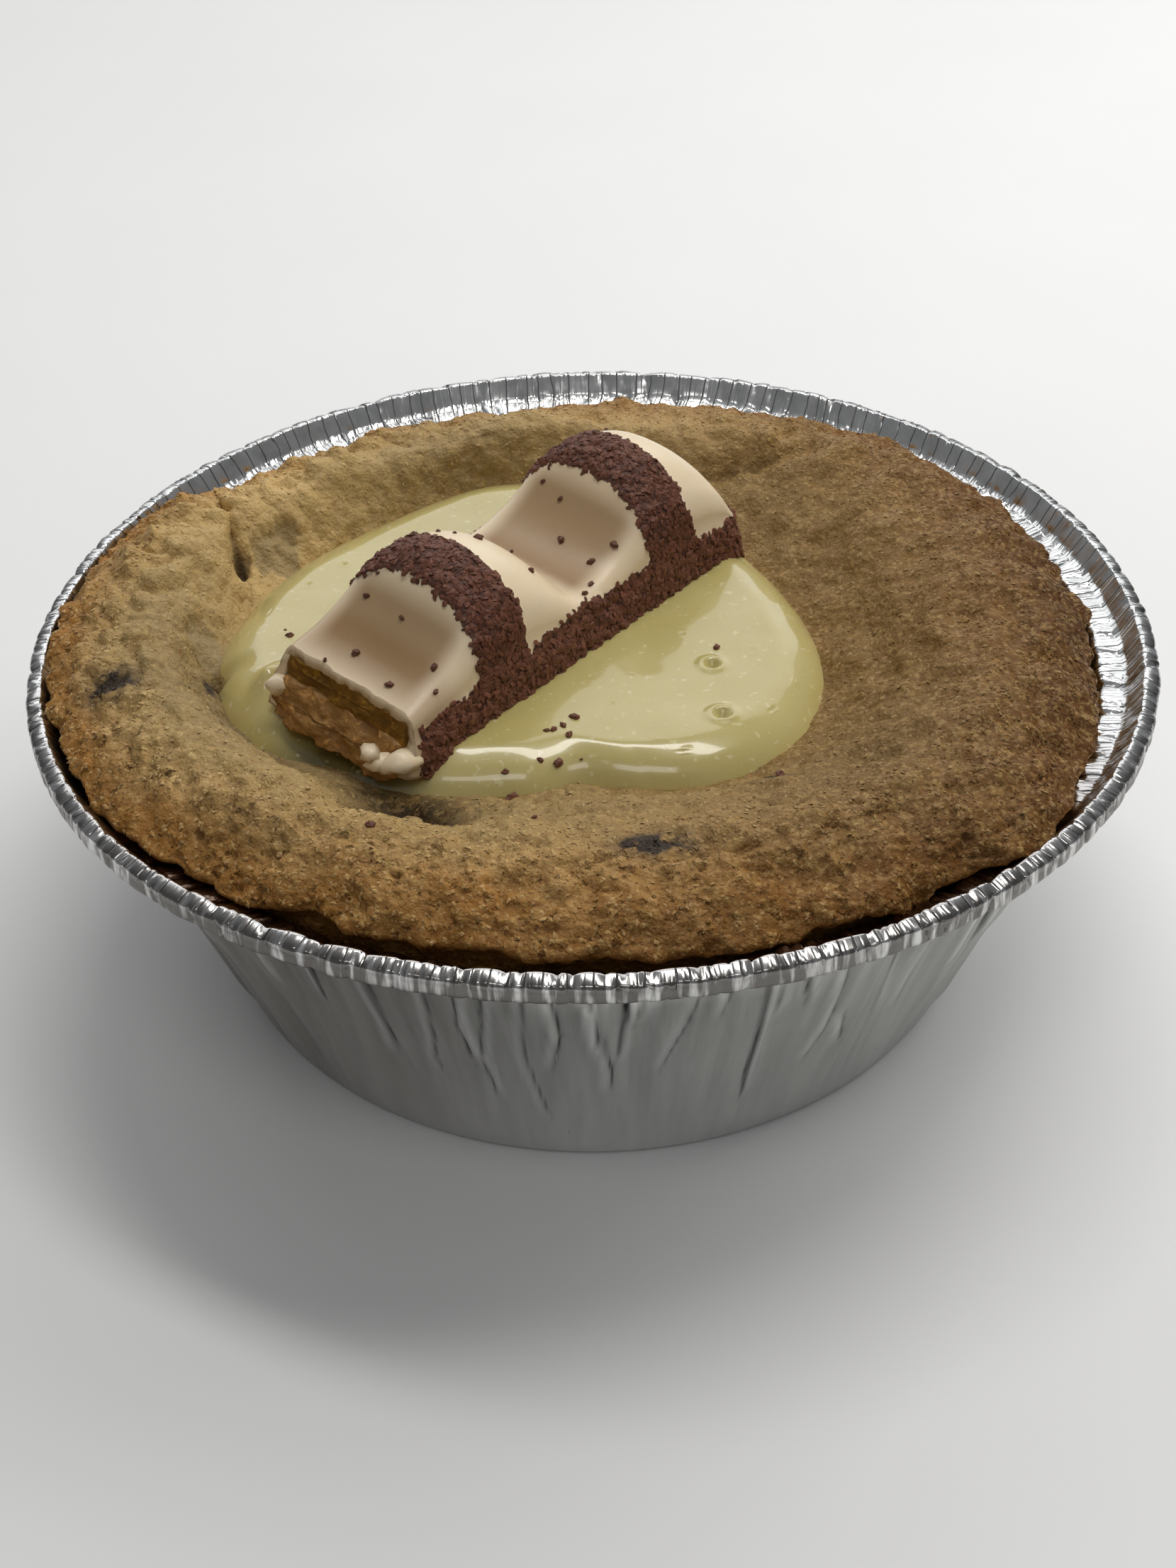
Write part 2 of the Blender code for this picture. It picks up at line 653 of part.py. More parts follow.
def build_bar(collection, cutters, finishes):
    """Coating with its crumb bands, and the wafer and filling that run through it to the cut end."""
    taper = SIDE_TAPER * BAR_WIDTH / 2.0

    def near_side(rise):
        strip = CRUMB_COAT * (1.0 - smooth(*STRIP_FADE, rise))
        return taper * rise - strip

    def far_side(rise):
        return BAR_WIDTH - near_side(rise)

    def floor(along, across):
        return BAR_BASE

    def coat_top(along, across):
        return bar_top(along, across) + CRUMB_COAT * in_band(along)

    def cavity_near(rise):
        return COAT_SIDE + taper * rise + CORNER_CHUNK * (1.0 - smooth(*CHUNK_FADE, rise))

    def cavity_far(rise):
        return BAR_WIDTH - COAT_SIDE - taper * rise

    def cavity_floor(along, across):
        return BAR_BASE + COAT_BASE

    def cavity_top(along, across):
        return bar_top(along, across) - COAT_TOP

    coat_places = hump_stations(COAT_SHARES, 0.0, BAR_LENGTH)
    coat_mesh = shaped_block("bar_coating", coat_places, 10, 3, near_side, far_side, floor, coat_top)
    coating = place("bar_coating", coat_mesh, collection)
    room = hump_stations(LAYER_SHARES, -CAVITY_RUN_OUT, BAR_LENGTH - COAT_END)
    cavity_mesh = shaped_block("cavity", room, 6, 2, cavity_near, cavity_far, cavity_floor, cavity_top)
    cavity = place("cavity", cavity_mesh, cutters)
    combine(coating, "DIFFERENCE", cavity)
    bpy.data.objects.remove(cavity)

    grains = bpy.data.collections.new("bar_grains")
    bpy.context.scene.collection.children.link(grains)
    draw = random.Random(21)
    for along, across in LOOSE_ON_BAR:
        add_grain(grains, *on_bar(along * MM, across * MM, bar_top), draw)
    for hump in range(HUMPS):
        for i in range(BAND_GRAINS):
            along = hump * HUMP_LENGTH + draw.uniform(BAND_START + BAND_BLEND, BAND_END - BAND_BLEND)
            across = BAR_WIDTH * (i + 1.0) / (BAND_GRAINS + 1.0)
            add_grain(grains, *on_bar(along, across, coat_top), draw)
    for i in range(STRIP_GRAINS):
        along = BAR_LENGTH * (i + 0.7) / STRIP_GRAINS
        height = draw.uniform(STRIP_FOOT, STRIP_TOP)
        rise = (height - BAR_BASE) / (VALLEY_Z - BAR_BASE)
        spot = bar_point(min(along, BAR_LENGTH - 1.0 * MM), near_side(rise), height)
        outward = bar_point(0.0, -1.0, 0.0) - bar_point(0.0, 0.0, 0.0)
        add_grain(grains, spot, outward, draw)
    combine(coating, "UNION", group=grains)
    remove_group(grains)
    tidy_solid(coating)
    coating.data.materials.clear()
    coating.data.materials.append(finishes["coating"])

    def wafer_top(along, across):
        return cavity_top(along, across) - LAYER_GAP

    def wafer_floor(along, across):
        return wafer_top(along, across) - WAFER

    def layer_near(rise):
        return COAT_SIDE + taper + LAYER_GAP

    def layer_far(rise):
        return BAR_WIDTH - layer_near(rise)

    inner = hump_stations(LAYER_SHARES, 0.0, BAR_LENGTH - COAT_END - LAYER_GAP)
    wafer_mesh = shaped_block("bar_wafer", inner, 6, 1, layer_near, layer_far, wafer_floor, wafer_top)
    place("bar_wafer", wafer_mesh, collection, finishes["wafer"])

    def filling_near(rise):
        return cavity_near(0.7 * rise) + LAYER_GAP

    def filling_floor(along, across):
        return cavity_floor(along, across) + LAYER_GAP

    def filling_top(along, across):
        return wafer_floor(along, across) - LAYER_GAP

    filling_mesh = shaped_block(
        "bar_filling", inner, 6, 2, filling_near, layer_far, filling_floor, filling_top)
    place("bar_filling", filling_mesh, collection, finishes["filling"])


# Crumbs


def add_grain(group, spot, outward, draw):
    """One chip of dark wafer, bedded to half its thickness in a surface and turned at random."""
    shape = bmesh.new()
    bmesh.ops.create_icosphere(shape, subdivisions=1, radius=1.0)
    size = GRAIN_SIZE * draw.uniform(0.85, 1.2)
    spin = Matrix.Rotation(draw.uniform(0.0, math.tau), 4, "Z")
    lie = outward.to_track_quat("Z", "Y").to_matrix().to_4x4()
    bmesh.ops.transform(shape, matrix=Matrix.Diagonal((*size, 1.0)), verts=shape.verts)
    bmesh.ops.transform(shape, matrix=Matrix.Translation(spot) @ lie @ spin, verts=shape.verts)
    mesh = bpy.data.meshes.new("grain")
    shape.to_mesh(mesh)
    shape.free()
    place("grain", mesh, group)


def remove_group(group):
    """Remove a collection and the objects in it."""
    for thing in list(group.objects):
        bpy.data.objects.remove(thing)
    bpy.data.collections.remove(group)


def fuse_grains(thing, spots, height_at, seed):
    """Join loose grains to the top of a piece."""
    group = bpy.data.collections.new(thing.name + "_grains")
    bpy.context.scene.collection.children.link(group)
    draw = random.Random(seed)
    for x, y in spots:
        spot = Vector((x * MM, y * MM, height_at(x * MM, y * MM)))
        add_grain(group, spot, Vector((0.0, 0.0, 1.0)), draw)
    combine(thing, "UNION", group=group)
    remove_group(group)
    tidy_solid(thing)


def build_bar_space(cutters):
    """Room for the bar in the sauce."""
    shape = bmesh.new()
    bmesh.ops.create_cube(shape, size=1.0, matrix=Matrix.Translation((0.5, 0.5, 0.5)))
    slack = CRUMB_COAT + LAYER_GAP
    length = BAR_LENGTH + CUT_FOOT + 2.0 * LAYER_GAP
    for corner in shape.verts:
        along = corner.co.x * length - CUT_FOOT - LAYER_GAP
        across = corner.co.y * (BAR_WIDTH + 2.0 * slack) - slack
        height = BAR_BASE - LAYER_GAP + corner.co.z * 10.0 * MM
        corner.co = bar_point(along, across, height)
    space = place("bar_space", mesh_from(shape, "bar_space"), cutters)
    space.hide_render = True
    space.display_type = "WIRE"
    return space


pie = bpy.data.collections.new("white_chocolate_cookie_pie")
cutters = bpy.data.collections.new("cutters")
bpy.context.scene.collection.children.link(pie)
bpy.context.scene.collection.children.link(cutters)

foil_finish = material("foil", (0.62, 0.62, 0.61), 0.32, 1.0)
cookie_finish = material("baked_dough", (0.40, 0.23, 0.09), 0.85)
sauce_finish = material("white_chocolate_sauce", (0.62, 0.54, 0.23), 0.2)
bar_finishes = {
    "coating": material("ivory_coating", (0.66, 0.58, 0.44), 0.4),
    "wafer": material("wafer", (0.36, 0.22, 0.05), 0.8),
    "filling": material("hazelnut_filling", (0.38, 0.24, 0.12), 0.7),
}

build_tin(pie, foil_finish)
cookie = build_cookie(pie, cookie_finish)
fuse_grains(cookie, LOOSE_ON_COOKIE, cookie_top, 3)
sauce = build_sauce(pie, sauce_finish, build_bar_space(cutters))
fuse_grains(sauce, LOOSE_ON_SAUCE, sauce_top, 8)
build_bar(pie, cutters, bar_finishes)
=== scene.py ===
"""White chocolate cookie pie in its foil tin: the finish of every piece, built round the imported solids."""
import math
import random

import bmesh
import bpy
import numpy as np
from mathutils import Matrix, Vector, noise


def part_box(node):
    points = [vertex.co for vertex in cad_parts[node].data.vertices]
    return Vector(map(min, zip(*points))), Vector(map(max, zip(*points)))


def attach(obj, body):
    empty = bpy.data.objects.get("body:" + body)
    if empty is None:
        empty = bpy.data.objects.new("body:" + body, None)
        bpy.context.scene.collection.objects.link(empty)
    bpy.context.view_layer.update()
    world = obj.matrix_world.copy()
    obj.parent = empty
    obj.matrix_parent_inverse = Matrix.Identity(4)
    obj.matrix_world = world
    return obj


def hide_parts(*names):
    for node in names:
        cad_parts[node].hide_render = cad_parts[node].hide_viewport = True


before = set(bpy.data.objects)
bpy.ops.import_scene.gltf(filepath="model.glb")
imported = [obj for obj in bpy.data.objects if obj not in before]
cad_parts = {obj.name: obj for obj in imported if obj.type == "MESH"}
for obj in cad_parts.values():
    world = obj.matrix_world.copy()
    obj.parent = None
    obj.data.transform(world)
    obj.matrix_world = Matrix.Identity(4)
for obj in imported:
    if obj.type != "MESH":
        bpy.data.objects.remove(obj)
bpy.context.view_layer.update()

MM = 0.001


# Foil tin
# A deep tin drawn in one press from thin aluminium foil. The press gathers the spare foil into
# pleats on the ledge and the rolled edge, and leaves long sharp creases down the sloping wall.

WALL_TURNS = 720
RIM_TURNS = 2 * WALL_TURNS
SHEET = 0.2 * MM
TIN_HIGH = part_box("foil_tin")[1]
BEAD_OUT = TIN_HIGH.x - 0.32 * MM
RIM_TOP = TIN_HIGH.z - 0.06 * MM
BASE_RADIUS = 42.9 * MM
WALL_SLOPE = math.radians(20.0)
BASE_CORNER = 1.2 * MM
LEDGE_TOP = 35.3 * MM
BEAD_WIDTH = 1.7 * MM
BEAD_HEIGHT = 2.5 * MM
BEAD_FALL = 0.3 * MM
INNER_ROLL = 0.35 * MM
OUTER_ROLL = 0.45 * MM
HEM_ROLL = 0.5 * MM
STEP_WIDTH = 1.5 * MM
STRAIGHT_TOP = 29.0 * MM
LEDGE_INSIDE = 54.7 * MM
LEDGE_FALL = 0.4 * MM
LEDGE_SWING = 0.22 * MM
LOW_SIDE = math.radians(232.0)
SHOULDER = 0.7 * MM
PLEAT_PITCH = (0.9 * MM, 4.6 * MM)
PLEAT_BULGE = 0.22 * MM
PLEAT_TILT = 0.2 * MM
PLEAT_GROOVE = 0.12 * MM
# Turn of the pleats as they cross the rim, in radians: the same for all, and by how much it varies
PLEAT_LEAN = 0.012
PLEAT_SWAY = 0.07
# The pleats of the ledge are deeper than those of the rim, and a little round from them
LEDGE_PLEATS = 1.3
LEDGE_SHIFT = 0.004
FOLD_SEED = 11
RIM_SEED = 21
# The soft rim is bent up and in at the front
BEND_UP = 1.9 * MM
BEND_IN = 1.0 * MM
# Creases seen on the front of the wall: (degrees about the axis, height in mm) down each one
CREASES = (
    ((238.4, 33.6), (237.2, 19.4)),
    ((245.5, 34.3), (245.1, 21.4), (244.5, 13.6)),
    ((252.1, 34.4), (250.9, 20.6), (250.1, 16.2), (251.0, 12.6)),
    ((255.4, 34.7), (254.3, 23.7), (255.4, 15.6)),
    ((258.5, 34.6), (256.0, 17.8), (256.9, 9.2)),
    ((262.3, 34.8), (261.4, 20.4), (261.8, 16.8), (263.6, 7.9)),
    ((264.5, 34.1), (265.6, 25.1), (264.3, 17.5)),
    ((267.6, 34.8), (269.1, 29.0), (269.8, 20.8)),
    ((269.7, 34.1), (269.8, 24.9), (270.9, 18.1), (270.7, 12.9)),
    ((272.6, 30.3), (271.7, 21.1), (270.9, 17.8)),
    ((272.3, 34.1), (272.7, 25.2)),
    ((274.8, 32.6), (273.2, 24.2)),
    ((280.2, 32.5), (278.7, 25.1), (276.2, 15.8)),
    ((283.6, 33.4), (282.2, 24.4)),
    ((286.9, 33.8), (287.0, 21.1), (286.8, 14.8), (287.2, 8.3)),
    ((288.5, 33.6), (288.9, 25.8), (288.4, 21.3)),
    ((290.7, 34.7), (292.8, 22.5)),
    ((296.0, 28.9), (296.7, 20.2), (295.6, 10.8)),
    ((296.1, 34.2), (296.8, 28.3)),
    ((298.3, 19.5), (300.1, 12.7)),
)
# Each part of the section: how far its pleats stand out, its shine, and how much painted shade and
# reflection of the crust it takes at the front
ZONES = {
    "base": (0.0, 0.0, 0.0), "corner": (0.0, 0.0, 0.0), "wall": (0.0, 0.0, 0.0),
    "shoulder": (1.7, 1.0, 1.0), "ledge": (1.0, 1.0, 1.0), "step": (0.45, 0.8, 1.0),
    "bead": (1.0, 0.9, 0.3), "side": (0.9, 0.15, 0.0), "hem": (0.6, 0.1, 0.0),
}
CREASE_DEPTH = 0.42 * MM
HIDDEN_CREASES = 46
# The rest of the wall, which they fill: from this angle on, over this many degrees
HIDDEN_FROM = -58.0
HIDDEN_ARC = 294.0
# How much foil each crease gathers in from beside it, and from how far in mm
CREASE_GATHER = 0.62
GATHER_REACH = 1.1
LEDGE_WIDTH = 2.9 * MM
WALL_FOLDS = 1.1 * MM
WALL_RIDGES = 0.7 * MM
RIM_DENTS = 0.16 * MM


def arc(x, z, radius, start, end, count):
    """Points on a round corner of a section, from one angle in degrees to another."""
    turn = np.radians(np.linspace(start, end, count))
    return np.column_stack((x + radius * np.cos(turn), z + radius * np.sin(turn)))


def run(start, end, count):
    """Evenly spaced points of a straight run, without its first."""
    share = np.linspace(0.0, 1.0, count + 1)[1:, None]
    return np.array(start) * (1.0 - share) + np.array(end) * share


def smooth(low, high, value):
    """Zero below low, one above high and a soft step between them."""
    share = np.clip((value - low) / (high - low), 0.0, 1.0)
    return share * share * (3.0 - 2.0 * share)


def rough(points, size, shift=0.0):
    """Soft noise at an array of points, about -0.5 to 0.5, with lumps of one size."""
    flat = (points.reshape(-1, 3) / size + shift).tolist()
    values = np.fromiter((noise.noise(place) for place in flat), float, len(flat))
    return values.reshape(points.shape[:-1])


def ring_faces(lower, upper):
    """Faces between two rings of points; either ring may have twice the points of the other."""
    near, far = np.roll(lower, -1), np.roll(upper, -1)
    if len(lower) == len(upper):
        return np.stack((lower, upper, far, near), axis=-1).tolist()
    if len(lower) > len(upper):
        return [face[::-1] for face in ring_faces(upper, lower)]
    middle, end = upper[1::2], np.roll(upper, -2)[::2]
    faces = np.stack((lower, upper[::2], middle), axis=-1).tolist()
    faces += np.stack((lower, middle, near), axis=-1).tolist()
    return faces + np.stack((near, middle, end), axis=-1).tolist()


def skin(name, rows, first, last):
    """Closed mesh through rings of points, with a pole at either end."""
    starts = np.cumsum([0] + [len(row) for row in rows])
    rings = [np.arange(start, start + len(row)) for start, row in zip(starts, rows)]
    faces = []
    for lower, upper in zip(rings, rings[1:]):
        faces += ring_faces(lower, upper)
    for tip, ring, turned in ((starts[-1], rings[0], False), (starts[-1] + 1, rings[-1], True)):
        for here, there in zip(ring.tolist(), np.roll(ring, -1).tolist()):
            faces.append((int(tip), there, here) if turned else (int(tip), here, there))
    points = [tuple(point) for row in rows for point in row.tolist()]
    mesh = bpy.data.meshes.new(name)
    mesh.from_pydata(points + [tuple(first), tuple(last)], [], faces)
    shape = bmesh.new()
    shape.from_mesh(mesh)
    bmesh.ops.recalc_face_normals(shape, faces=shape.faces)
    shape.to_mesh(mesh)
    shape.free()
    mesh.shade_smooth()
    return made(name, mesh)


def made(name, data):
    """New object of the scene."""
    thing = bpy.data.objects.new(name, data)
    bpy.context.scene.collection.objects.link(thing)
    return thing


def attribute(thing, name, values):
    """Store one number for each point of a piece, padded for its poles."""
    spread = np.zeros(len(thing.data.vertices), np.float32)
    flat = np.asarray(values, np.float32).ravel()
    spread[:len(flat)] = flat
    thing.data.attributes.new(name, "FLOAT", "POINT").data.foreach_set("value", spread)


class Wiring:
    """Adds the nodes of one tree. An input given as a socket is linked, any other is set."""

    def __init__(self, tree):
        self.tree = tree

    def add(self, kind, inputs=None, **settings):
        node = self.tree.nodes.new(kind)
        for setting, value in settings.items():
            setattr(node, setting, value)
        for key, value in (inputs or {}).items():
            if isinstance(value, bpy.types.NodeSocket):
                self.tree.links.new(value, node.inputs[key])
            else:
                node.inputs[key].default_value = value
        return node

    def math(self, operation, first, second=0.0, third=0.0, clamp=False):
        inputs = {0: first, 1: second, 2: third}
        return self.add("ShaderNodeMath", inputs, operation=operation, use_clamp=clamp).outputs[0]

    def times(self, first, second, clamp=False):
        return self.math("MULTIPLY", first, second, clamp=clamp)

    def plus(self, first, second, clamp=False):
        return self.math("ADD", first, second, clamp=clamp)

    def minus(self, first, second):
        return self.math("SUBTRACT", first, second)

    def line(self, value, slope, start, clamp=False):
        """A value times a slope, plus a start."""
        return self.math("MULTIPLY_ADD", value, slope, start, clamp)

    def spread(self, value, low=0.0, high=1.0, bottom=0.0, top=1.0):
        """A value between low and high, spread from bottom to top and held there beyond them."""
        return self.add("ShaderNodeMapRange", {
            "Value": value, "From Min": low, "From Max": high, "To Min": bottom, "To Max": top}).outputs[0]

    def vector(self, operation, first, second):
        """Vector made from two; SCALE takes a vector and a number."""
        key = "Scale" if operation == "SCALE" else 1
        return self.add("ShaderNodeVectorMath", {0: first, key: second}, operation=operation).outputs[0]

    def parts(self, vector):
        return self.add("ShaderNodeSeparateXYZ", {0: vector}).outputs

    def noise(self, where, detail, scale=1.0, output="Fac"):
        inputs = {"Vector": where, "Scale": scale, "Detail": detail}
        return self.add("ShaderNodeTexNoise", inputs).outputs[output]

    def place(self):
        return self.add("ShaderNodeTexCoord").outputs["Object"]

    def read(self, name):
        return self.add("ShaderNodeAttribute", attribute_name=name).outputs["Fac"]

    def mix(self, share, first, second, mode="MIX"):
        """Mix of two colours, each a socket or a plain (red, green, blue)."""
        pair = [part if isinstance(part, bpy.types.NodeSocket) else (*part, 1.0) for part in (first, second)]
        inputs = {0: share, 6: pair[0], 7: pair[1]}
        return self.add("ShaderNodeMix", inputs, data_type="RGBA", blend_type=mode).outputs[2]

    def painted(self, colour, coats):
        """A colour with thin coats of others over it, each laid by its own share."""
        for share, paint in coats:
            colour = self.mix(share, colour, paint)
        return colour

    def mottle(self, size, middle=0.5, softness=0.1, detail=3.0, shift=0.0):
        inputs = {"Size": size, "Middle": middle, "Softness": softness, "Detail": detail, "Shift": shift}
        return self.add("ShaderNodeGroup", inputs, node_tree=MOTTLE).outputs[0]


class Finish(Wiring):
    """A new material. Values that are the same all over go on its shader's own sockets."""

    def __init__(self, name, **values):
        self.material = bpy.data.materials.new(name)
        self.material.use_nodes = True
        super().__init__(self.material.node_tree)
        self.sockets = self.tree.nodes["Principled BSDF"].inputs
        for key, value in values.items():
            self.sockets[key.replace("_", " ")].default_value = value

    def dress(self, **fields):
        for key, field in fields.items():
            self.tree.links.new(field, self.sockets[key.replace("_", " ")])

    def bump(self, height, strength, distance):
        bumped = self.add("ShaderNodeBump", {"Height": height, "Strength": strength, "Distance": distance})
        self.dress(Normal=bumped.outputs[0])


def build_mottle():
    """Shared effect: soft patches or small specks, from 0 to 1, of a given size in millimetres."""
    group = Wiring(bpy.data.node_groups.new("mottle", "ShaderNodeTree"))
    face = group.tree.interface
    for name in ("Size", "Middle", "Softness", "Detail", "Shift"):
        face.new_socket(name, in_out="INPUT", socket_type="NodeSocketFloat")
    face.new_socket("Value", in_out="OUTPUT", socket_type="NodeSocketFloat")
    given = group.add("NodeGroupInput").outputs
    scaled = group.vector("SCALE", group.place(), group.math("DIVIDE", 1000.0, given["Size"]))
    pattern = group.noise(group.vector("ADD", scaled, given["Shift"]), given["Detail"])
    low = group.minus(given["Middle"], given["Softness"])
    high = group.plus(given["Middle"], given["Softness"])
    group.tree.links.new(group.spread(pattern, low, high), group.add("NodeGroupOutput").inputs[0])
    return group.tree


MOTTLE = build_mottle()


def wall_radius(z):
    return BASE_RADIUS + z * math.tan(WALL_SLOPE)


def tin_section():
    """Middle line of the foil, from the base's centre out, up the wall and over to the hem."""
    half = SHEET / 2.0
    slope = math.degrees(WALL_SLOPE)
    flat = wall_radius(BASE_CORNER) - BASE_CORNER / math.cos(WALL_SLOPE)
    corner = arc(flat, BASE_CORNER, BASE_CORNER - half, -90.0, -slope, 5)
    step_out = BEAD_OUT - BEAD_WIDTH
    ledge_out = step_out - STEP_WIDTH
    ledge_in_z = LEDGE_TOP - LEDGE_FALL - half
    shoulder = arc(LEDGE_INSIDE + SHOULDER, ledge_in_z - SHOULDER, SHOULDER, 172.0, 95.0, 6)
    straight_top = (wall_radius(STRAIGHT_TOP) - half, STRAIGHT_TOP)
    outer_top = RIM_TOP - BEAD_FALL - OUTER_ROLL
    bead = np.concatenate((
        arc(step_out + INNER_ROLL, RIM_TOP - INNER_ROLL, INNER_ROLL - half, 160.0, 76.0, 5),
        arc(BEAD_OUT - OUTER_ROLL, outer_top, OUTER_ROLL - half, 66.0, 0.0, 6)))
    hem_z = RIM_TOP - BEAD_HEIGHT + OUTER_ROLL
    hem = arc(BEAD_OUT - HEM_ROLL, hem_z, HEM_ROLL - half, 0.0, -140.0, 5)
    ledge = run(shoulder[-1], (ledge_out, LEDGE_TOP - half), 5)
    pieces = {
        "base": np.array([(16.0 * MM, half), (30.0 * MM, half), (flat - 1.0 * MM, half)]),
        "corner": corner,
        "wall": np.concatenate((run(corner[-1], straight_top, 36), run(straight_top, shoulder[0], 8)[:-1])),
        "shoulder": shoulder,
        "ledge": ledge,
        "step": run(ledge[-1], bead[0], 4)[:-1],
        "bead": bead,
        "side": run(bead[-1], hem[0], 3)[:-1],
        "hem": hem,
    }
    zones = np.concatenate([[zone] * len(points) for zone, points in pieces.items()])
    return np.concatenate(list(pieces.values())), zones


def pleat_edges(draw):
    """Angles of the pleats: uneven spaces, with some narrow pairs."""
    edges = [0.0]
    while edges[-1] < math.tau:
        share = draw.random() ** 1.6
        edges.append(edges[-1] + (PLEAT_PITCH[0] + share * (PLEAT_PITCH[1] - PLEAT_PITCH[0])) / BEAD_OUT)
    return np.array(edges) * math.tau / edges[-1]


def pleats(angle, edges, draw):
    """Lift of the gathered foil: each strip between two pleats is nearly flat and leans its own way."""
    widths = np.diff(edges) / np.diff(edges).max()
    bulge = np.array([draw.uniform(0.2, 1.0) for _ in widths]) * np.sqrt(widths) * PLEAT_BULGE
    tilt = np.array([draw.uniform(-1.0, 1.0) for _ in widths]) * np.sqrt(widths) * PLEAT_TILT
    angle = angle % math.tau
    strip = np.clip(np.searchsorted(edges, angle, side="right") - 1, 0, len(widths) - 1)
    across = 2.0 * (angle - edges[strip]) / (edges[strip + 1] - edges[strip]) - 1.0
    groove = PLEAT_GROOVE * smooth(0.72, 1.0, np.abs(across))
    return bulge[strip] * (0.6 - np.abs(across) ** 2.0) + tilt[strip] * across - groove


def crease_lines(draw):
    """The creases that show, and seeded ones like them for the rest of the wall."""
    lines = [np.array(line) for line in CREASES]
    for i in range(HIDDEN_CREASES):
        degrees = HIDDEN_FROM + HIDDEN_ARC * (i + draw.uniform(-0.3, 0.3)) / HIDDEN_CREASES
        top = draw.uniform(31.0, 34.6)
        length = draw.uniform(6.0, 23.0)
        lean = draw.uniform(-2.6, 2.6)
        bend = draw.uniform(-0.8, 0.8)
        middle = (degrees + lean / 2.0 + bend, top - length / 2.0)
        lines.append(np.array(((degrees, top), middle, (degrees + lean, top - length))))
    return [(line[::-1], draw.choice((-1.0, 1.0)), draw.uniform(0.5, 1.0)) for line in lines]


def crease_places(angle, height, radius, lines):
    """For each crease: how far every point lies from it in millimetres, its strength there and side."""
    for line, side, strength in lines:
        middle = np.radians(np.interp(height / MM, line[:, 1], line[:, 0]))
        away = ((angle - middle + math.pi) % math.tau - math.pi) * radius / MM
        low, high = line[0, 1], line[-1, 1]
        begun = smooth(low - 0.5, low + 4.0, height / MM)
        ended = smooth(high - 1.5, high + 1.0, height / MM)
        yield away * side, begun * (1.0 - ended) * strength, side


def creased(angle, height, radius, lines):
    """Push of the overlapped folds, and a share of painted highlight on each crease's crest and painted
    shade in its groove.
    """
    push = np.zeros_like(angle)
    depth = np.zeros_like(angle)
    for away, strength, _ in crease_places(angle, height, radius, lines):
        fold = np.exp(-np.maximum(away, 0.0) / 2.2) * smooth(-0.1, 0.14, away)
        groove = np.exp(-np.abs(away) / 0.16)
        push += strength * CREASE_DEPTH * (fold - 0.7 * groove)
        # Painted highlight on the crest next to each crease, and painted shade in its groove
        crest = 0.7 * np.exp(-((away - 0.7) / 0.4) ** 2)
        depth += strength * (crest - 1.1 * np.exp(-((away + 0.04) / 0.13) ** 2))
    return push, depth


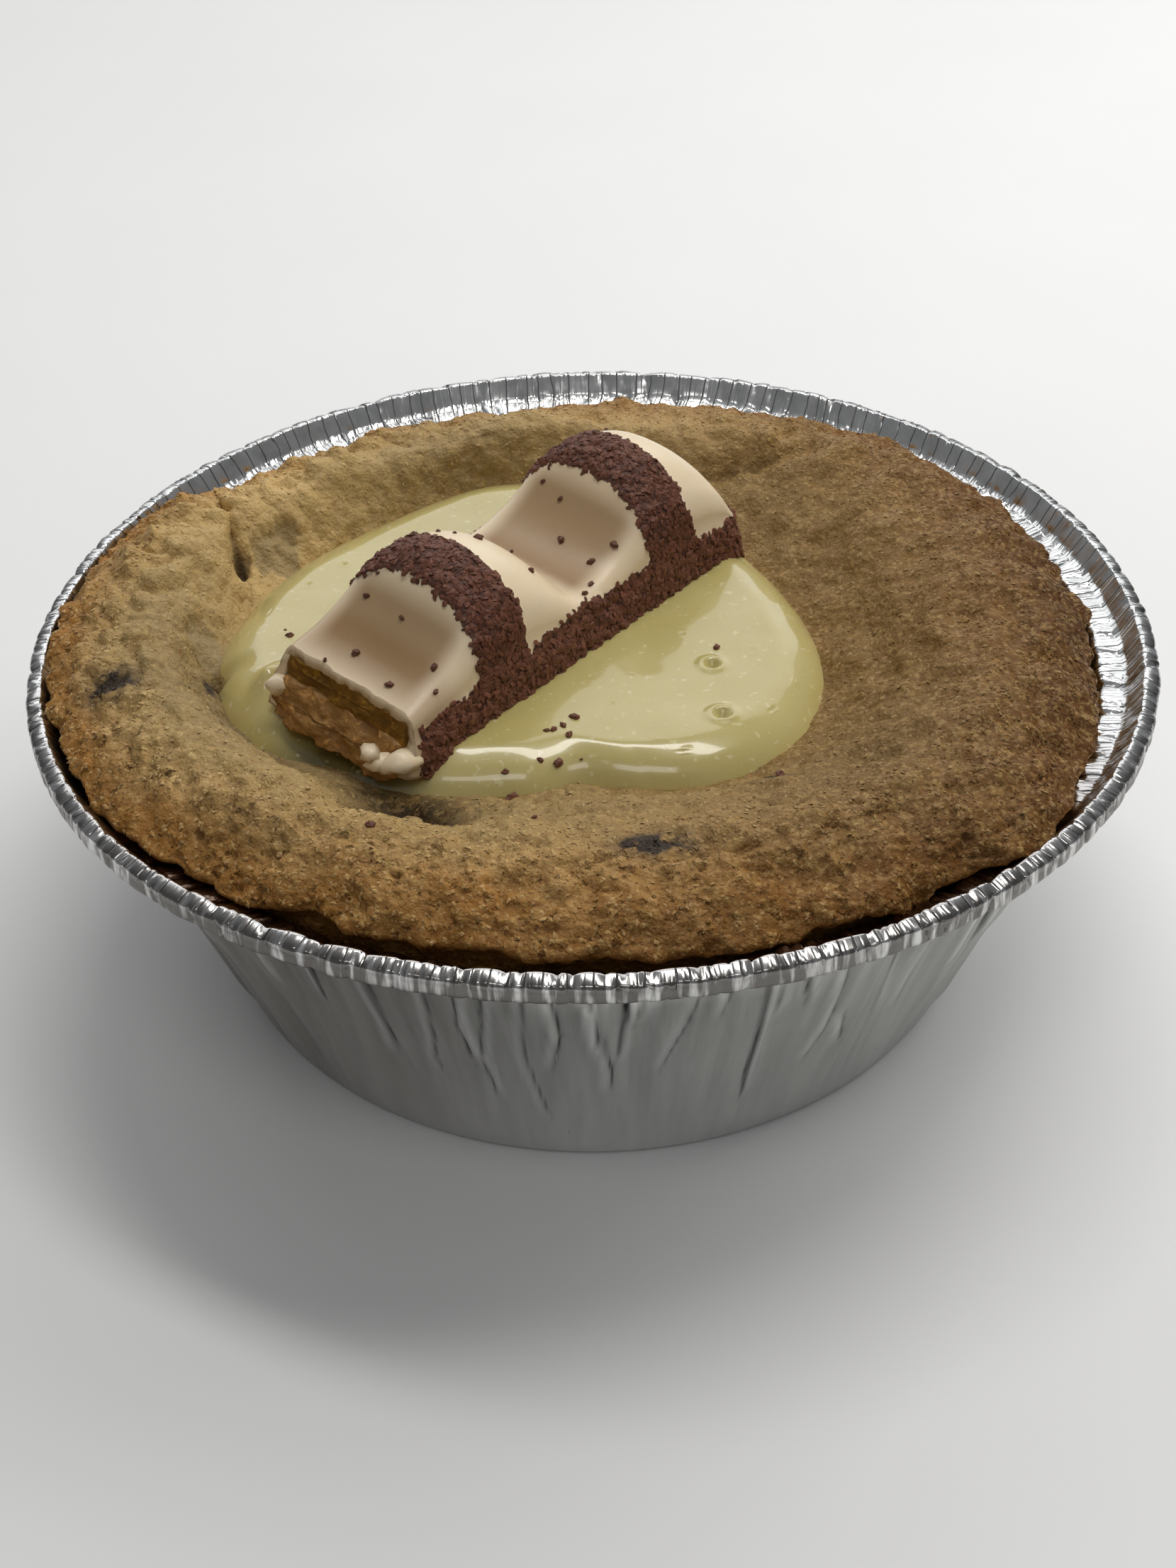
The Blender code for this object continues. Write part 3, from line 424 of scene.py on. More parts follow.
def tin_side(rows, section, zones, along, turns, inside):
    """Rows of points of one face of the foil, with its folds, creases and pleats, and their marks, some of
    which place painted shade, highlights and reflections.
    """
    draw = random.Random(FOLD_SEED)
    edges = pleat_edges(draw)
    lines = crease_lines(draw)
    zone = zones[rows]
    radius = np.repeat(section[rows, :1], turns, axis=1)
    height = np.repeat(section[rows, 1:], turns, axis=1)
    outward = along[rows, 1:]
    downward = along[rows, :1]
    angle = np.repeat(np.linspace(0.0, math.tau, turns, endpoint=False)[None, :], len(rows), axis=0)
    inward = np.clip((LEDGE_INSIDE + LEDGE_WIDTH - radius) / LEDGE_WIDTH, 0.0, 1.0)
    inward = inward * smooth(STRAIGHT_TOP, LEDGE_TOP - 1.5 * MM, height)
    height = height - LEDGE_SWING * inward * np.cos(angle - LOW_SIDE)
    walled = np.isin(zone, ("corner", "wall"))
    if walled.any():
        gather = np.zeros_like(angle)
        for away, strength, side in crease_places(angle, height, radius, lines):
            gather -= side * strength * CREASE_GATHER * away * np.exp(-(away / GATHER_REACH) ** 2)
        angle = angle + gather * walled[:, None] * MM / radius
    unit = np.stack((np.cos(angle), np.sin(angle), np.zeros_like(angle)), axis=-1)

    travel = np.concatenate(([0.0], np.cumsum(np.linalg.norm(np.diff(section, axis=0), axis=1))))
    beyond = (travel - travel[np.argmax(zones == "shoulder")])[rows, None]
    sway = PLEAT_LEAN + PLEAT_SWAY * rough(unit * 7.0, 1.0, 3.0)
    leaned = angle + sway * smooth(0.0, 3.6 * MM, beyond) * np.sin(beyond / (2.3 * MM))
    rim_draw = random.Random(RIM_SEED)
    rim_lift = pleats(leaned, edges, rim_draw)
    ledge_lift = LEDGE_PLEATS * pleats(leaned + LEDGE_SHIFT, edges, rim_draw)
    rim, shine, beside = (np.array([ZONES[name][column] for name in zone])[:, None] for column in range(3))
    inner = np.isin(zone, ("shoulder", "ledge"))[:, None]
    lift = np.where(inner, ledge_lift, rim_lift) * rim
    lift += rim * RIM_DENTS * rough(unit * 22.0 + height[..., None] / (3.0 * MM), 1.0, 9.0)

    wall = smooth(0.5 * MM, 5.0 * MM, height) * walled[:, None]
    upper = smooth(LEDGE_TOP - 5.0 * MM, LEDGE_TOP - 1.0 * MM, height)
    tall = np.concatenate((unit[..., :2] * 10.0, height[..., None] / (26.0 * MM)), axis=-1)
    folds = WALL_FOLDS * rough(tall, 1.0, 1.7)
    ridges = WALL_RIDGES * (0.25 - np.abs(rough(tall * (1.9, 1.9, 0.8), 1.0, 5.1)))
    push, depth = creased(angle, height, radius, lines) if walled.any() else (0.0 * angle, 0.0 * angle)
    push = wall * ((1.0 - upper) * (folds + ridges) + push + 0.5 * upper * rim_lift)
    face = -SHEET / 2.0 if inside else SHEET / 2.0
    shift = push - lift + face
    bend = np.clip(-np.sin(angle), 0.0, 1.0) ** 2 * np.clip(height / LEDGE_TOP, 0.0, 1.0)
    points = unit * (radius + outward * shift - bend * BEND_IN)[..., None]
    slanted = 1.0 - 0.35 * smooth(LEDGE_TOP - 3.0 * MM, LEDGE_TOP - 1.0 * MM, height) * inward
    points[..., 2] = height - downward * shift + bend * BEND_UP * slanted
    bright = np.repeat(shine, turns, axis=1)
    outer = (zone == "bead")[:, None] & (section[rows, :1] > BEAD_OUT - 0.6 * MM)
    hem = np.where(outer | np.isin(zone, ("side", "hem"))[:, None], 1.0, 0.0 * angle)
    # Painted shade and reflection of the crust, on the ledge and rim at the front of the tin
    front = smooth(0.1, 0.8, -np.sin(angle + math.radians(8.0)))
    return list(points), bright, wall * depth, hem, front * beside


def build_tin():
    section, zones = tin_section()
    along = np.gradient(section, axis=0)
    along /= np.linalg.norm(along, axis=1)[:, None]
    order = np.arange(len(section))
    on_wall = np.isin(zones, ("base", "corner", "wall"))
    under = order[on_wall | (order % 3 == 0)]
    over = order[~on_wall][::-1]
    within = order[on_wall & (order % 7 == 0)][::-1]
    sides = (
        tin_side(under, section, zones, along, WALL_TURNS, False),
        tin_side(over, section, zones, along, RIM_TURNS, True),
        tin_side(within, section, zones, along, WALL_TURNS, True),
    )
    rows = [row for side in sides for row in side[0]]
    tin = skin("tin", rows, (0.0, 0.0, SHEET * 0.1), (0.0, 0.0, SHEET * 0.9))
    for part, name in enumerate(("rim", "crease", "outer_rim", "crust_shade_reflection"), 1):
        attribute(tin, name, np.concatenate([side[part].ravel() for side in sides]))
    return tin


def foil_material():
    """Bare rolled foil: satin, brighter on the gathered rim, and painted darker on the wall as a painted
    reflection of shade.
    """
    foil = Finish("pressed foil", Metallic=1.0)
    rim = foil.read("rim")
    crease = foil.read("crease")
    x, y, z = foil.parts(foil.place())
    turn = foil.math("ARCTAN2", x, foil.times(y, -1.0))
    leaned = foil.plus(turn, foil.times(foil.minus(foil.mottle(9.0, softness=0.4), 0.5), 0.03))

    def lines(pitch, width):
        """Fine radial lines, pitch apart on average: zero on a line and one between them."""
        cell = foil.add("ShaderNodeTexVoronoi", {
            "W": foil.times(leaned, BEAD_OUT / pitch), "Scale": 1.0, "Randomness": 1.0},
            voronoi_dimensions="1D", feature="DISTANCE_TO_EDGE")
        return foil.spread(cell.outputs["Distance"], 0.0, width)

    def streaked(width, changes, detail):
        """Streaks down the foil: how wide they are round it, and how often they change in a metre."""
        stretched = foil.add("ShaderNodeCombineXYZ", {
            0: foil.times(turn, BEAD_OUT / width), 1: foil.times(z, changes)})
        return foil.noise(stretched.outputs[0], detail)

    # Painted reflections on the wall: light and dark streaks down its folds, a brighter foot, and darker
    # colour towards the left and right
    streaks = streaked(2.4 * MM, 45.0, 4.0)
    lit_foot = foil.line(foil.spread(z, 0.0, LEDGE_TOP), -0.9, 0.75, clamp=True)
    wall = foil.mix(foil.spread(streaks, 0.3, 0.7), (0.31, 0.31, 0.295), (0.58, 0.58, 0.56))
    wall = foil.painted(wall, (
        (lit_foot, (0.82, 0.82, 0.80)),
        (foil.spread(x, 0.0, -46.0 * MM, 0.0, 0.75), (0.15, 0.12, 0.09)),
        (foil.spread(x, 0.0, 40.0 * MM, 0.0, 0.4), (0.24, 0.24, 0.23)),
        (foil.times(crease, 0.8, clamp=True), (0.92, 0.92, 0.90)),
        (foil.times(crease, -1.0, clamp=True), (0.03, 0.03, 0.03))))
    # Painted shade: the pleat folds on the rim are painted as dark lines
    folds = lines(2.0 * MM, 0.06)
    gathered = foil.mix(foil.mottle(2.5, softness=0.2), (0.66, 0.66, 0.65), (0.92, 0.92, 0.91))
    gathered = foil.mix(folds, (0.14, 0.14, 0.14), gathered)
    # Painted shade and reflection of the crust: the ledge at the front is painted brown
    gathered = foil.mix(foil.times(foil.read("crust_shade_reflection"), 0.9), gathered, (0.16, 0.085, 0.045))
    # Painted reflection: the outer face of the rolled edge is painted dark grey with painted gleams
    gleams = foil.spread(streaked(0.9 * MM, 150.0, 3.0), 0.48, 0.66)
    rolled = foil.mix(gleams, (0.15, 0.14, 0.13), (0.80, 0.80, 0.79))
    colour = foil.mix(foil.times(foil.read("outer_rim"), 0.85), foil.mix(rim, wall, gathered), rolled)
    wear = foil.times(foil.mottle(5.0, softness=0.3), 0.1)
    foil.dress(Base_Color=colour, Roughness=foil.plus(foil.spread(rim, 0.0, 1.0, 0.32, 0.14), wear))
    gathers = foil.times(foil.line(lines(0.9 * MM, 0.2), 0.3, folds), rim)
    dents = foil.times(foil.mottle(1.6, softness=0.35), foil.line(rim, -0.3, 0.4))
    foil.bump(foil.plus(gathers, foil.plus(dents, streaks)), 0.6, 0.14 * MM)
    return foil.material


tin = build_tin()
tin.data.materials.append(foil_material())
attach(tin, "root")
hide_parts("foil_tin")


# Cookie dough
# A thick cookie baked in the tin: its raised edge spreads over the ledge, and its top is dipped
# while warm to hold the sauce. The crust is dry, sandy and cracked, and browner towards the edge.

DOUGH_RAYS = 940
# Rows of its grid: shares of the pool's radius, then how many up the bank and over the brow
FLOOR_SHARES = (0.3, 0.65, 0.88)
BANK_FROM = 0.94
BANK_ROWS = 48
BROW_ROWS = 41
BASIN_CENTRE = np.array((-8.0, 3.0)) * MM
FLOOR_Z = 31.6 * MM
SHORE_Z = 32.8 * MM
NECK_RADIUS = 53.5 * MM
CREST_SHARE = 0.82
BANK_CURVE = 1.3
BROW_CURVE = 2.2
RELIEF = 1.0 * MM
# The lip is ragged over this width: bites five millimetres apart, and crumbs two apart
RAGGED_WIDTH = 5.0 * MM
LIP_BITES = 0.9 * MM
LIP_CRUMBS = 0.5 * MM
# The crust overhangs a neck inside the ledge; below this height the dough keeps clear of the wall
UNDER_EDGE = 1.6 * MM
MEETS_WALL = 31.0 * MM
WALL_GAP = 2.8 * MM
FOOT_GAP = 3.4 * MM
DOUGH_BASE = 0.7 * MM
# Outer edge of the dough about the tin's axis: (degrees from +X, radius in mm)
COOKIE_EDGE = (
    (0, 54.2), (11, 54.1), (24, 54.6), (36, 55.2), (49, 55.8), (62, 55.0), (76, 53.6), (90, 52.4),
    (105, 52.0), (120, 52.0), (135, 52.6), (144, 53.6), (149, 56.0), (153, 57.6), (160, 58.1), (170, 58.6),
    (180, 58.5), (191, 58.1), (200, 57.6), (209, 57.4), (218, 56.2), (228, 54.8), (240, 53.6), (252, 52.9),
    (264, 53.3), (276, 53.6), (288, 53.5), (300, 54.0), (308, 54.8), (314, 56.8), (318, 57.8), (322, 57.0),
    (330, 55.7), (338, 54.9), (348, 54.4),
)
# Height of that edge, and of the raised rim's top: (degrees, mm)
EDGE_HEIGHTS = (
    (0, 36.2), (45, 36.4), (90, 36.4), (140, 37.0), (155, 37.9), (182, 37.9), (208, 37.2), (228, 36.6),
    (250, 36.9), (270, 37.1), (292, 37.0), (318, 37.0), (335, 36.1),
)
CREST_HEIGHTS = (
    (0, 40.0), (45, 39.5), (90, 39.2), (135, 39.6), (180, 40.6), (225, 41.0), (270, 40.9), (315, 40.6),
)
# Edge of the pool about the basin's centre: (degrees, radius in mm)
SAUCE_EDGE = (
    (8, 32.2), (21, 31.6), (33, 31.4), (50, 32.6), (68, 34.0), (84, 35.2), (97, 35.0), (109, 33.2),
    (121, 31.6), (135, 31.2), (150, 31.8), (167, 32.6), (190, 33.6), (207, 33.2), (236, 30.3),
    (257, 27.7), (272, 26.9), (284, 26.3), (297, 29.9), (307, 32.7), (318, 34.5), (329, 35.0), (343, 34.4),
)
# Hollows, pits and cracks, as patches: (x, y, depth, half length, half width in mm, degrees from +X)
HOLLOWS = (
    (-19.3, -27.0, 2.0, 4.6, 1.8, -18.0), (-18.8, -31.8, 4.6, 7.0, 3.8, -14.0),
    (-38.5, 19.5, 0.8, 6.5, 3.2, 60.0), (21.5, 35.0, 1.5, 6.0, 1.8, 2.0),
    (29.5, -46.0, 1.0, 2.6, 1.8, 40.0), (17.7, -44.9, 0.8, 2.4, 1.5, 10.0),
    (-40.6, 17.6, 2.6, 1.7, 0.9, 80.0), (-42.2, 21.8, 2.4, 4.2, 0.6, 110.0),
    (-39.9, 12.6, 1.2, 3.4, 0.6, 84.0), (-41.6, -1.8, 2.2, 1.7, 0.8, 110.0),
    (17.6, 34.8, 1.0, 4.6, 0.8, 4.0), (24.2, 38.6, 0.9, 3.0, 0.8, 55.0),
    (30.2, -45.6, 1.2, 1.0, 0.7, 60.0), (27.4, -47.4, 0.9, 1.3, 0.6, 30.0),
    (13.4, -42.6, 0.7, 3.4, 0.6, 12.0), (4.0, -42.4, 0.6, 4.0, 0.6, 6.0),
    (-46.5, 6.0, 0.7, 2.6, 0.8, 50.0), (-36.0, 31.5, 0.8, 3.0, 0.9, 20.0),
)
# Torn places, the same way: the crust has come away there from the paler dough
TORN = ((-36.8, 20.8, 1.3, 4.4, 1.7, 50.0), (-42.9, 1.6, 1.1, 3.0, 1.9, 100.0))
# Lumps, with their rise in place of a depth
LUMPS = (
    (-36.5, -21.6, 1.2, 7.0, 3.6, -52.0), (-23.0, -33.5, 0.9, 9.0, 3.2, -25.0),
    (-46.5, 13.0, 0.9, 6.0, 3.5, 75.0), (22.0, 31.0, 0.9, 7.0, 2.2, 5.0),
    (-37.4, 26.0, 0.7, 4.6, 3.0, 30.0), (-30.0, 33.0, 0.5, 5.0, 2.6, 20.0),
    (-14.0, 41.0, 0.5, 7.0, 2.4, 0.0),
)
# Paler and darker patches of the crust, with the share that it is brighter by; the last is painted shade in
# a hollow
TONE_AND_SHADE_PATCHES = (
    (-37.0, 21.0, 0.7, 15.0, 9.0, 62.0), (5.0, 43.0, 0.35, 15.0, 7.0, 0.0),
    (0.0, -46.0, 0.4, 18.0, 4.0, 0.0), (-44.0, -8.0, -0.2, 13.0, 6.0, 100.0),
    (-37.0, -10.0, -0.35, 13.0, 4.5, 105.0), (27.0, -28.0, -0.2, 14.0, 8.0, 45.0),
    (53.0, 2.0, -0.2, 16.0, 4.0, 90.0), (-18.4, -26.8, -0.92, 7.0, 4.0, -26.0),
)
# Dark chocolate pieces that show through the crust, all of them in full
BURIED_CHIPS = (
    (-49.7, -13.6, 1.0, 2.4, 2.3, 0.0), (5.2, -42.2, 1.0, 3.4, 1.7, 5.0),
    (18.3, -26.9, 1.0, 1.3, 1.0, 0.0), (-41.2, -5.2, 1.0, 1.6, 1.0, 70.0),
)


def closed_curve(stations, angle):
    """Smooth closed curve through (degrees, mm) stations, read at an array of angles in radians."""
    turns = np.array([turn for turn, _ in stations], float)
    values = np.array([value for _, value in stations], float)
    turn = np.degrees(angle) % 360.0
    here = (np.searchsorted(turns, turn, side="right") - 1) % len(turns)
    ahead = (here + 1) % len(turns)
    share = ((turn - turns[here]) % 360.0) / ((turns[ahead] - turns[here]) % 360.0)
    rise = (values[ahead] - values[here - 1]) / 2.0
    fall = (values[(here + 2) % len(turns)] - values[here]) / 2.0
    jump = values[ahead] - values[here]
    bend = (3.0 * jump - 2.0 * rise - fall) * share ** 2 + (rise + fall - 2.0 * jump) * share ** 3
    return (values[here] + rise * share + bend) * MM


def reach(turn, radius_at):
    """Distance from the basin's centre, in each direction, to a curve round the tin's axis."""
    heading = np.stack((np.cos(turn), np.sin(turn)), axis=-1)
    along = heading @ BASIN_CENTRE
    distance = np.full_like(turn, NECK_RADIUS)
    for _ in range(10):
        point = BASIN_CENTRE + heading * distance[..., None]
        radius = radius_at(np.arctan2(point[..., 1], point[..., 0]))
        distance = np.sqrt(along ** 2 - BASIN_CENTRE @ BASIN_CENTRE + radius ** 2) - along
    return distance


def dough_edge(angle):
    return closed_curve(COOKIE_EDGE, angle)


def dough_crest(angle):
    return CREST_SHARE * dough_edge(angle)


def in_plan(x, y, height=0.0):
    """Points over places in plan, all at one height."""
    return np.stack((x, y, np.full_like(x, height)), axis=-1)


def bells(x, y, patches):
    """The soft bell of each oval patch, as strong at its centre as the patch says."""
    for centre_x, centre_y, strength, half_length, half_width, degrees in patches:
        turn = math.radians(degrees)
        dx = x - centre_x * MM
        dy = y - centre_y * MM
        along = (dx * math.cos(turn) + dy * math.sin(turn)) / (half_length * MM)
        across = (dy * math.cos(turn) - dx * math.sin(turn)) / (half_width * MM)
        yield strength * np.exp(-along ** 2 - across ** 2)


def torn_mask(x, y):
    """One inside the torn places, which have a sharp uneven edge, and their depth."""
    level = in_plan(x, y)
    wander = 0.5 * rough(level, 2.4 * MM, 13.0) + 0.3 * rough(level, 0.9 * MM, 17.0)
    mask = np.zeros_like(x)
    depth = np.zeros_like(x)
    for patch, bell in zip(TORN, bells(x, y, TORN)):
        out = np.sqrt(-np.log(np.maximum(bell / patch[2], 1e-9))) + wander
        inside = 1.0 - smooth(0.82, 1.08, out)
        mask = np.maximum(mask, inside)
        depth = np.maximum(depth, inside * patch[2] * MM)
    return mask, depth - mask * 0.9 * MM * rough(level, 1.6 * MM, 23.0)


def about_basin(x, y):
    """Direction and distance from the basin's centre, and the pool's edge in that direction."""
    turn = np.arctan2(y - BASIN_CENTRE[1], x - BASIN_CENTRE[0])
    distance = np.hypot(x - BASIN_CENTRE[0], y - BASIN_CENTRE[1])
    return turn, distance, closed_curve(SAUCE_EDGE, turn)


def rays_out(count):
    """Evenly spaced directions from the basin's centre, their headings and the pool's edge on each."""
    rays = np.linspace(0.0, math.tau, count, endpoint=False)
    return rays, np.stack((np.cos(rays), np.sin(rays)), axis=-1), closed_curve(SAUCE_EDGE, rays)


def dough_top(x, y):
    """Height of the dough: a shallow floor, a slope up to the crest and a rounded outer edge."""
    turn, distance, shore = about_basin(x, y)
    angle = np.arctan2(y, x)
    crest = reach(turn, dough_crest)
    edge = reach(turn, dough_edge)
    crest_z = closed_curve(CREST_HEIGHTS, angle)
    basin = FLOOR_Z + (SHORE_Z - FLOOR_Z) * (distance / shore) ** 2
    share = np.clip((distance - shore) / (crest - shore), 0.0, 1.0)
    bank = SHORE_Z + (crest_z - SHORE_Z) * np.sin(share * math.pi / 2.0) ** BANK_CURVE
    over = np.clip((distance - crest) / (edge - crest), 0.0, 1.0)
    brow = crest_z - (crest_z - closed_curve(EDGE_HEIGHTS, angle)) * over ** BROW_CURVE
    height = np.where(distance < shore, basin, np.where(distance < crest, bank, brow))
    baked = smooth(0.97 * shore, 1.15 * shore, distance)
    for hollow in bells(x, y, HOLLOWS):
        height = height - hollow * MM
    for lump in bells(x, y, LUMPS):
        height = height + baked * lump * MM
    height = height - baked * torn_mask(x, y)[1]
    lumpy = rough(in_plan(x, y), 7.0 * MM) + 0.6 * rough(in_plan(x, y, 20.0 * MM), 3.2 * MM)
    return height + baked * RELIEF * lumpy


def build_dough():
    """Polar grid from the basin's centre, out over the raised edge and down inside the tin."""
    rays, heading, shore = rays_out(DOUGH_RAYS)
    crest = reach(rays, dough_crest)
    edge = reach(rays, dough_edge)
    start = BANK_FROM * shore
    distances = [share * shore for share in FLOOR_SHARES]
    distances += [start + share * (crest - start) for share in np.linspace(0.0, 1.0, BANK_ROWS)]
    distances += [crest + share * (edge - crest) for share in np.linspace(0.0, 1.0, BROW_ROWS + 1)[1:]]
    distances = np.array(distances)
    spots = BASIN_CENTRE + heading[None] * distances[..., None]
    x, y = spots[..., 0], spots[..., 1]
    top = np.stack((x, y, dough_top(x, y)), axis=-1)

    near_edge = 1.0 - smooth(0.0, RAGGED_WIDTH, edge[None] - distances)
    flat = in_plan(x, y)
    ragged = LIP_BITES * rough(flat, 5.0 * MM, 4.0) + LIP_CRUMBS * rough(flat, 1.9 * MM, 8.0)
    top[..., :2] += heading[None] * (near_edge * ragged)[..., None]
    lip = top[-1]
    axis_out = lip[:, :2] / np.linalg.norm(lip[:, :2], axis=1)[:, None]
    lip_radius = np.linalg.norm(lip[:, :2], axis=1)
    lip_z = lip[:, 2]

    def under_ring(radius, height):
        return np.concatenate((axis_out * radius[:, None], height[:, None]), axis=1)

    neck = np.minimum(lip_radius - 1.3 * MM, NECK_RADIUS)
    meets = wall_radius(MEETS_WALL) - WALL_GAP
    under = [
        under_ring(lip_radius + 0.05 * MM, lip_z - 0.35 * MM),
        under_ring(lip_radius - 0.25 * MM, lip_z - 0.8 * MM),
        under_ring((lip_radius + neck) / 2.0, lip_z - 1.25 * MM),
        under_ring(neck, lip_z - UNDER_EDGE),
    ]
    for share in (0.25, 0.5, 0.75, 1.0):
        radius = neck * (1.0 - share) + np.minimum(neck, meets) * share
        under.append(under_ring(radius, (lip_z - UNDER_EDGE) * (1.0 - share) + MEETS_WALL * share))
    ones = np.ones_like(lip_z)
    for height in (27.0 * MM, 22.0 * MM, 12.0 * MM, 2.4 * MM):
        under.append(under_ring(ones * (wall_radius(height) - WALL_GAP), ones * height))
    under.append(under_ring(ones * (BASE_RADIUS - FOOT_GAP), ones * DOUGH_BASE))
    under = np.array(under)
    centre = (*BASIN_CENTRE, float(dough_top(BASIN_CENTRE[:1], BASIN_CENTRE[1:])[0]))
    dough = skin("cookie_dough", list(top) + list(under), centre, (0.0, 0.0, DOUGH_BASE))

    baked = smooth(0.95, 1.04, distances / shore)
    toast = smooth(0.2, 1.0, (distances - shore) / (edge - shore))
    angle = np.arctan2(y, x)
    coarse = 0.55 + 0.45 * np.cos(angle + math.radians(110.0))
    torn = torn_mask(x, y)[0]
    curdled = 0.3 + 0.7 * smooth(0.55, 0.95, np.cos(angle - math.radians(160.0))) * smooth(0.0, 0.25, toast)
    # Each mark over the top, and what it is on the hidden underside
    marks = {
        "crust": (baked, 0.7),
        "toast": (toast, 1.1),
        "chips": (sum(bells(x, y, BURIED_CHIPS)), 0.0),
        "tone_and_shade": (1.0 + sum(bells(x, y, TONE_AND_SHADE_PATCHES)), 1.0),
        "torn": (torn, 0.0),
        "grainy": (baked * (0.5 + 0.5 * smooth(0.05, 0.5, toast)) * (1.0 - 0.6 * torn), 0.0),
        "curdled": (curdled * (1.0 - 0.8 * smooth(0.8, 1.0, toast)), 0.0),
        "rugged": ((0.25 + 0.75 * coarse) * (0.3 + 0.7 * smooth(0.1, 0.8, toast)), 0.7),
        "browner": ((0.5 + 0.5 * np.cos(angle + math.radians(5.0))) ** 1.5, 0.3),
        # Painted shade, darkest in the deepest hollows
        "deep": (smooth(1.0, 3.4, sum(bells(x, y, HOLLOWS))), 0.0),
    }
    for name, (over, below) in marks.items():
        attribute(dough, name, np.concatenate((over, np.full(under.shape[:2], below))))
    return dough


class Shaping(Wiring):
    """A new geometry tree with named inputs. It ends in Realize Instances and Set Material."""

    def __init__(self, name, numbers, seeded=False):
        super().__init__(bpy.data.node_groups.new(name, "GeometryNodeTree"))
        kinds = {label: "NodeSocketFloat" for label in numbers}
        if seeded:
            kinds["Seed"] = "NodeSocketInt"
        kinds["Material"] = "NodeSocketMaterial"
        for way in ("INPUT", "OUTPUT"):
            self.tree.interface.new_socket("Geometry", in_out=way, socket_type="NodeSocketGeometry")
        for label, kind in kinds.items():
            self.tree.interface.new_socket(label, in_out="INPUT", socket_type=kind)
        self.given = self.add("NodeGroupInput").outputs

    def field(self, name):
        return self.add("GeometryNodeInputNamedAttribute", {"Name": name}).outputs[0]

    def stored(self, geometry, values, domain):
        """Geometry that keeps each value under its name."""
        for name, value in values.items():
            inputs = {"Geometry": geometry, "Name": name, "Value": value}
            node = self.add("GeometryNodeStoreNamedAttribute", inputs, data_type="FLOAT", domain=domain)
            geometry = node.outputs[0]
        return geometry

    def ended(self, geometry):
        real = self.add("GeometryNodeRealizeInstances", {"Geometry": geometry}).outputs[0]
        clad = self.add("GeometryNodeSetMaterial", {"Geometry": real, "Material": self.given["Material"]})
        self.tree.links.new(clad.outputs[0], self.add("NodeGroupOutput").inputs[0])
        return self.tree


def shaped(thing, label, tree, values):
    """Run a tree with its named inputs on a piece, and keep the plain mesh that it makes."""
    modifier = thing.modifiers.new(label, "NODES")
    modifier.node_group = tree
    for item in tree.interface.items_tree:
        if item.item_type == "SOCKET" and item.in_out == "INPUT" and item.name in values:
            modifier[item.identifier] = values[item.name]
    graph = bpy.context.evaluated_depsgraph_get()
    mesh = bpy.data.meshes.new_from_object(
        thing.evaluated_get(graph), preserve_all_data_layers=True, depsgraph=graph)
    thing.modifiers.clear()
    thing.data = mesh


def crumb_relief_tree():
    """Baked relief: lumps, curds, crumbs, flaky steps and pits, pushed out of the crust's surface."""
    relief = Shaping("crumb_relief", (
        "Lump Size", "Lump Height", "Curd Height", "Crumb Size", "Crumb Height",
        "Block Size", "Block Height", "Pit Size", "Pit Depth"))
    given = relief.given
    where = relief.add("GeometryNodeInputPosition").outputs[0]

    def pattern(size, detail, scale=1.0, shift=0.0):
        scaled = relief.vector("DIVIDE", where, given[size])
        return relief.noise(relief.vector("ADD", scaled, (shift, shift, shift)), detail, scale)

    def centred(field, height):
        return relief.times(relief.minus(field, 0.5), given[height])

    rugged = relief.field("rugged")
    curdled = relief.field("curdled")
    swell = relief.math("ABSOLUTE", relief.minus(pattern("Lump Size", 1.0, 0.9, 21.0), 0.5))
    curds = relief.times(relief.times(swell, given["Curd Height"]), curdled)
    lumps = relief.plus(centred(pattern("Lump Size", 2.0), "Lump Height"), curds)
    grains = centred(pattern("Crumb Size", 4.0), "Crumb Height")
    crumbs = relief.times(grains, relief.spread(rugged, 0.0, 1.0, 0.5))
    bend = relief.noise(where, 2.0, 900.0, "Color")
    bent = relief.vector("ADD", relief.vector("DIVIDE", where, given["Block Size"]), bend)
    block = relief.add("ShaderNodeTexVoronoi", {"Vector": bent, "Scale": 1.0}).outputs["Color"]
    steps = relief.times(centred(relief.parts(block)[0], "Block Height"), rugged)
    pits = relief.times(relief.spread(pattern("Pit Size", 2.5, 1.0, 3.0), 0.64, 0.72), rugged)
    dug = relief.times(pits, given["Pit Depth"])
    raised = relief.minus(relief.plus(relief.plus(lumps, steps), crumbs), dug)
    facing = relief.add("GeometryNodeInputNormal").outputs[0]
    offset = relief.vector("SCALE", facing, relief.times(raised, relief.field("crust")))
    # Marks kept for the crust's colour: pits and crevices for painted shade, and the crumbs' rise for
    # painted light and shade
    kept = relief.stored(given["Geometry"], {
        "hollow": pits,
        "crevice": relief.times(relief.spread(swell, 0.0, 0.03, 1.0, 0.0), curdled),
        "raised": relief.math("DIVIDE", crumbs, given["Crumb Height"])}, "POINT")
    pushed = relief.add("GeometryNodeSetPosition", {"Geometry": kept, "Offset": offset})
    return relief.ended(pushed.outputs[0])


def ramp_of(finish, share, stops):
    """Colour ramp from (position, colour) stops."""
    node = finish.add("ShaderNodeValToRGB", {0: share})
    elements = node.color_ramp.elements
    for element, (position, colour) in zip(elements, (stops[0], stops[-1])):
        element.position = position
        element.color = (*colour, 1.0)
    for position, colour in stops[1:-1]:
        elements.new(position).color = (*colour, 1.0)
    return node.outputs[0]


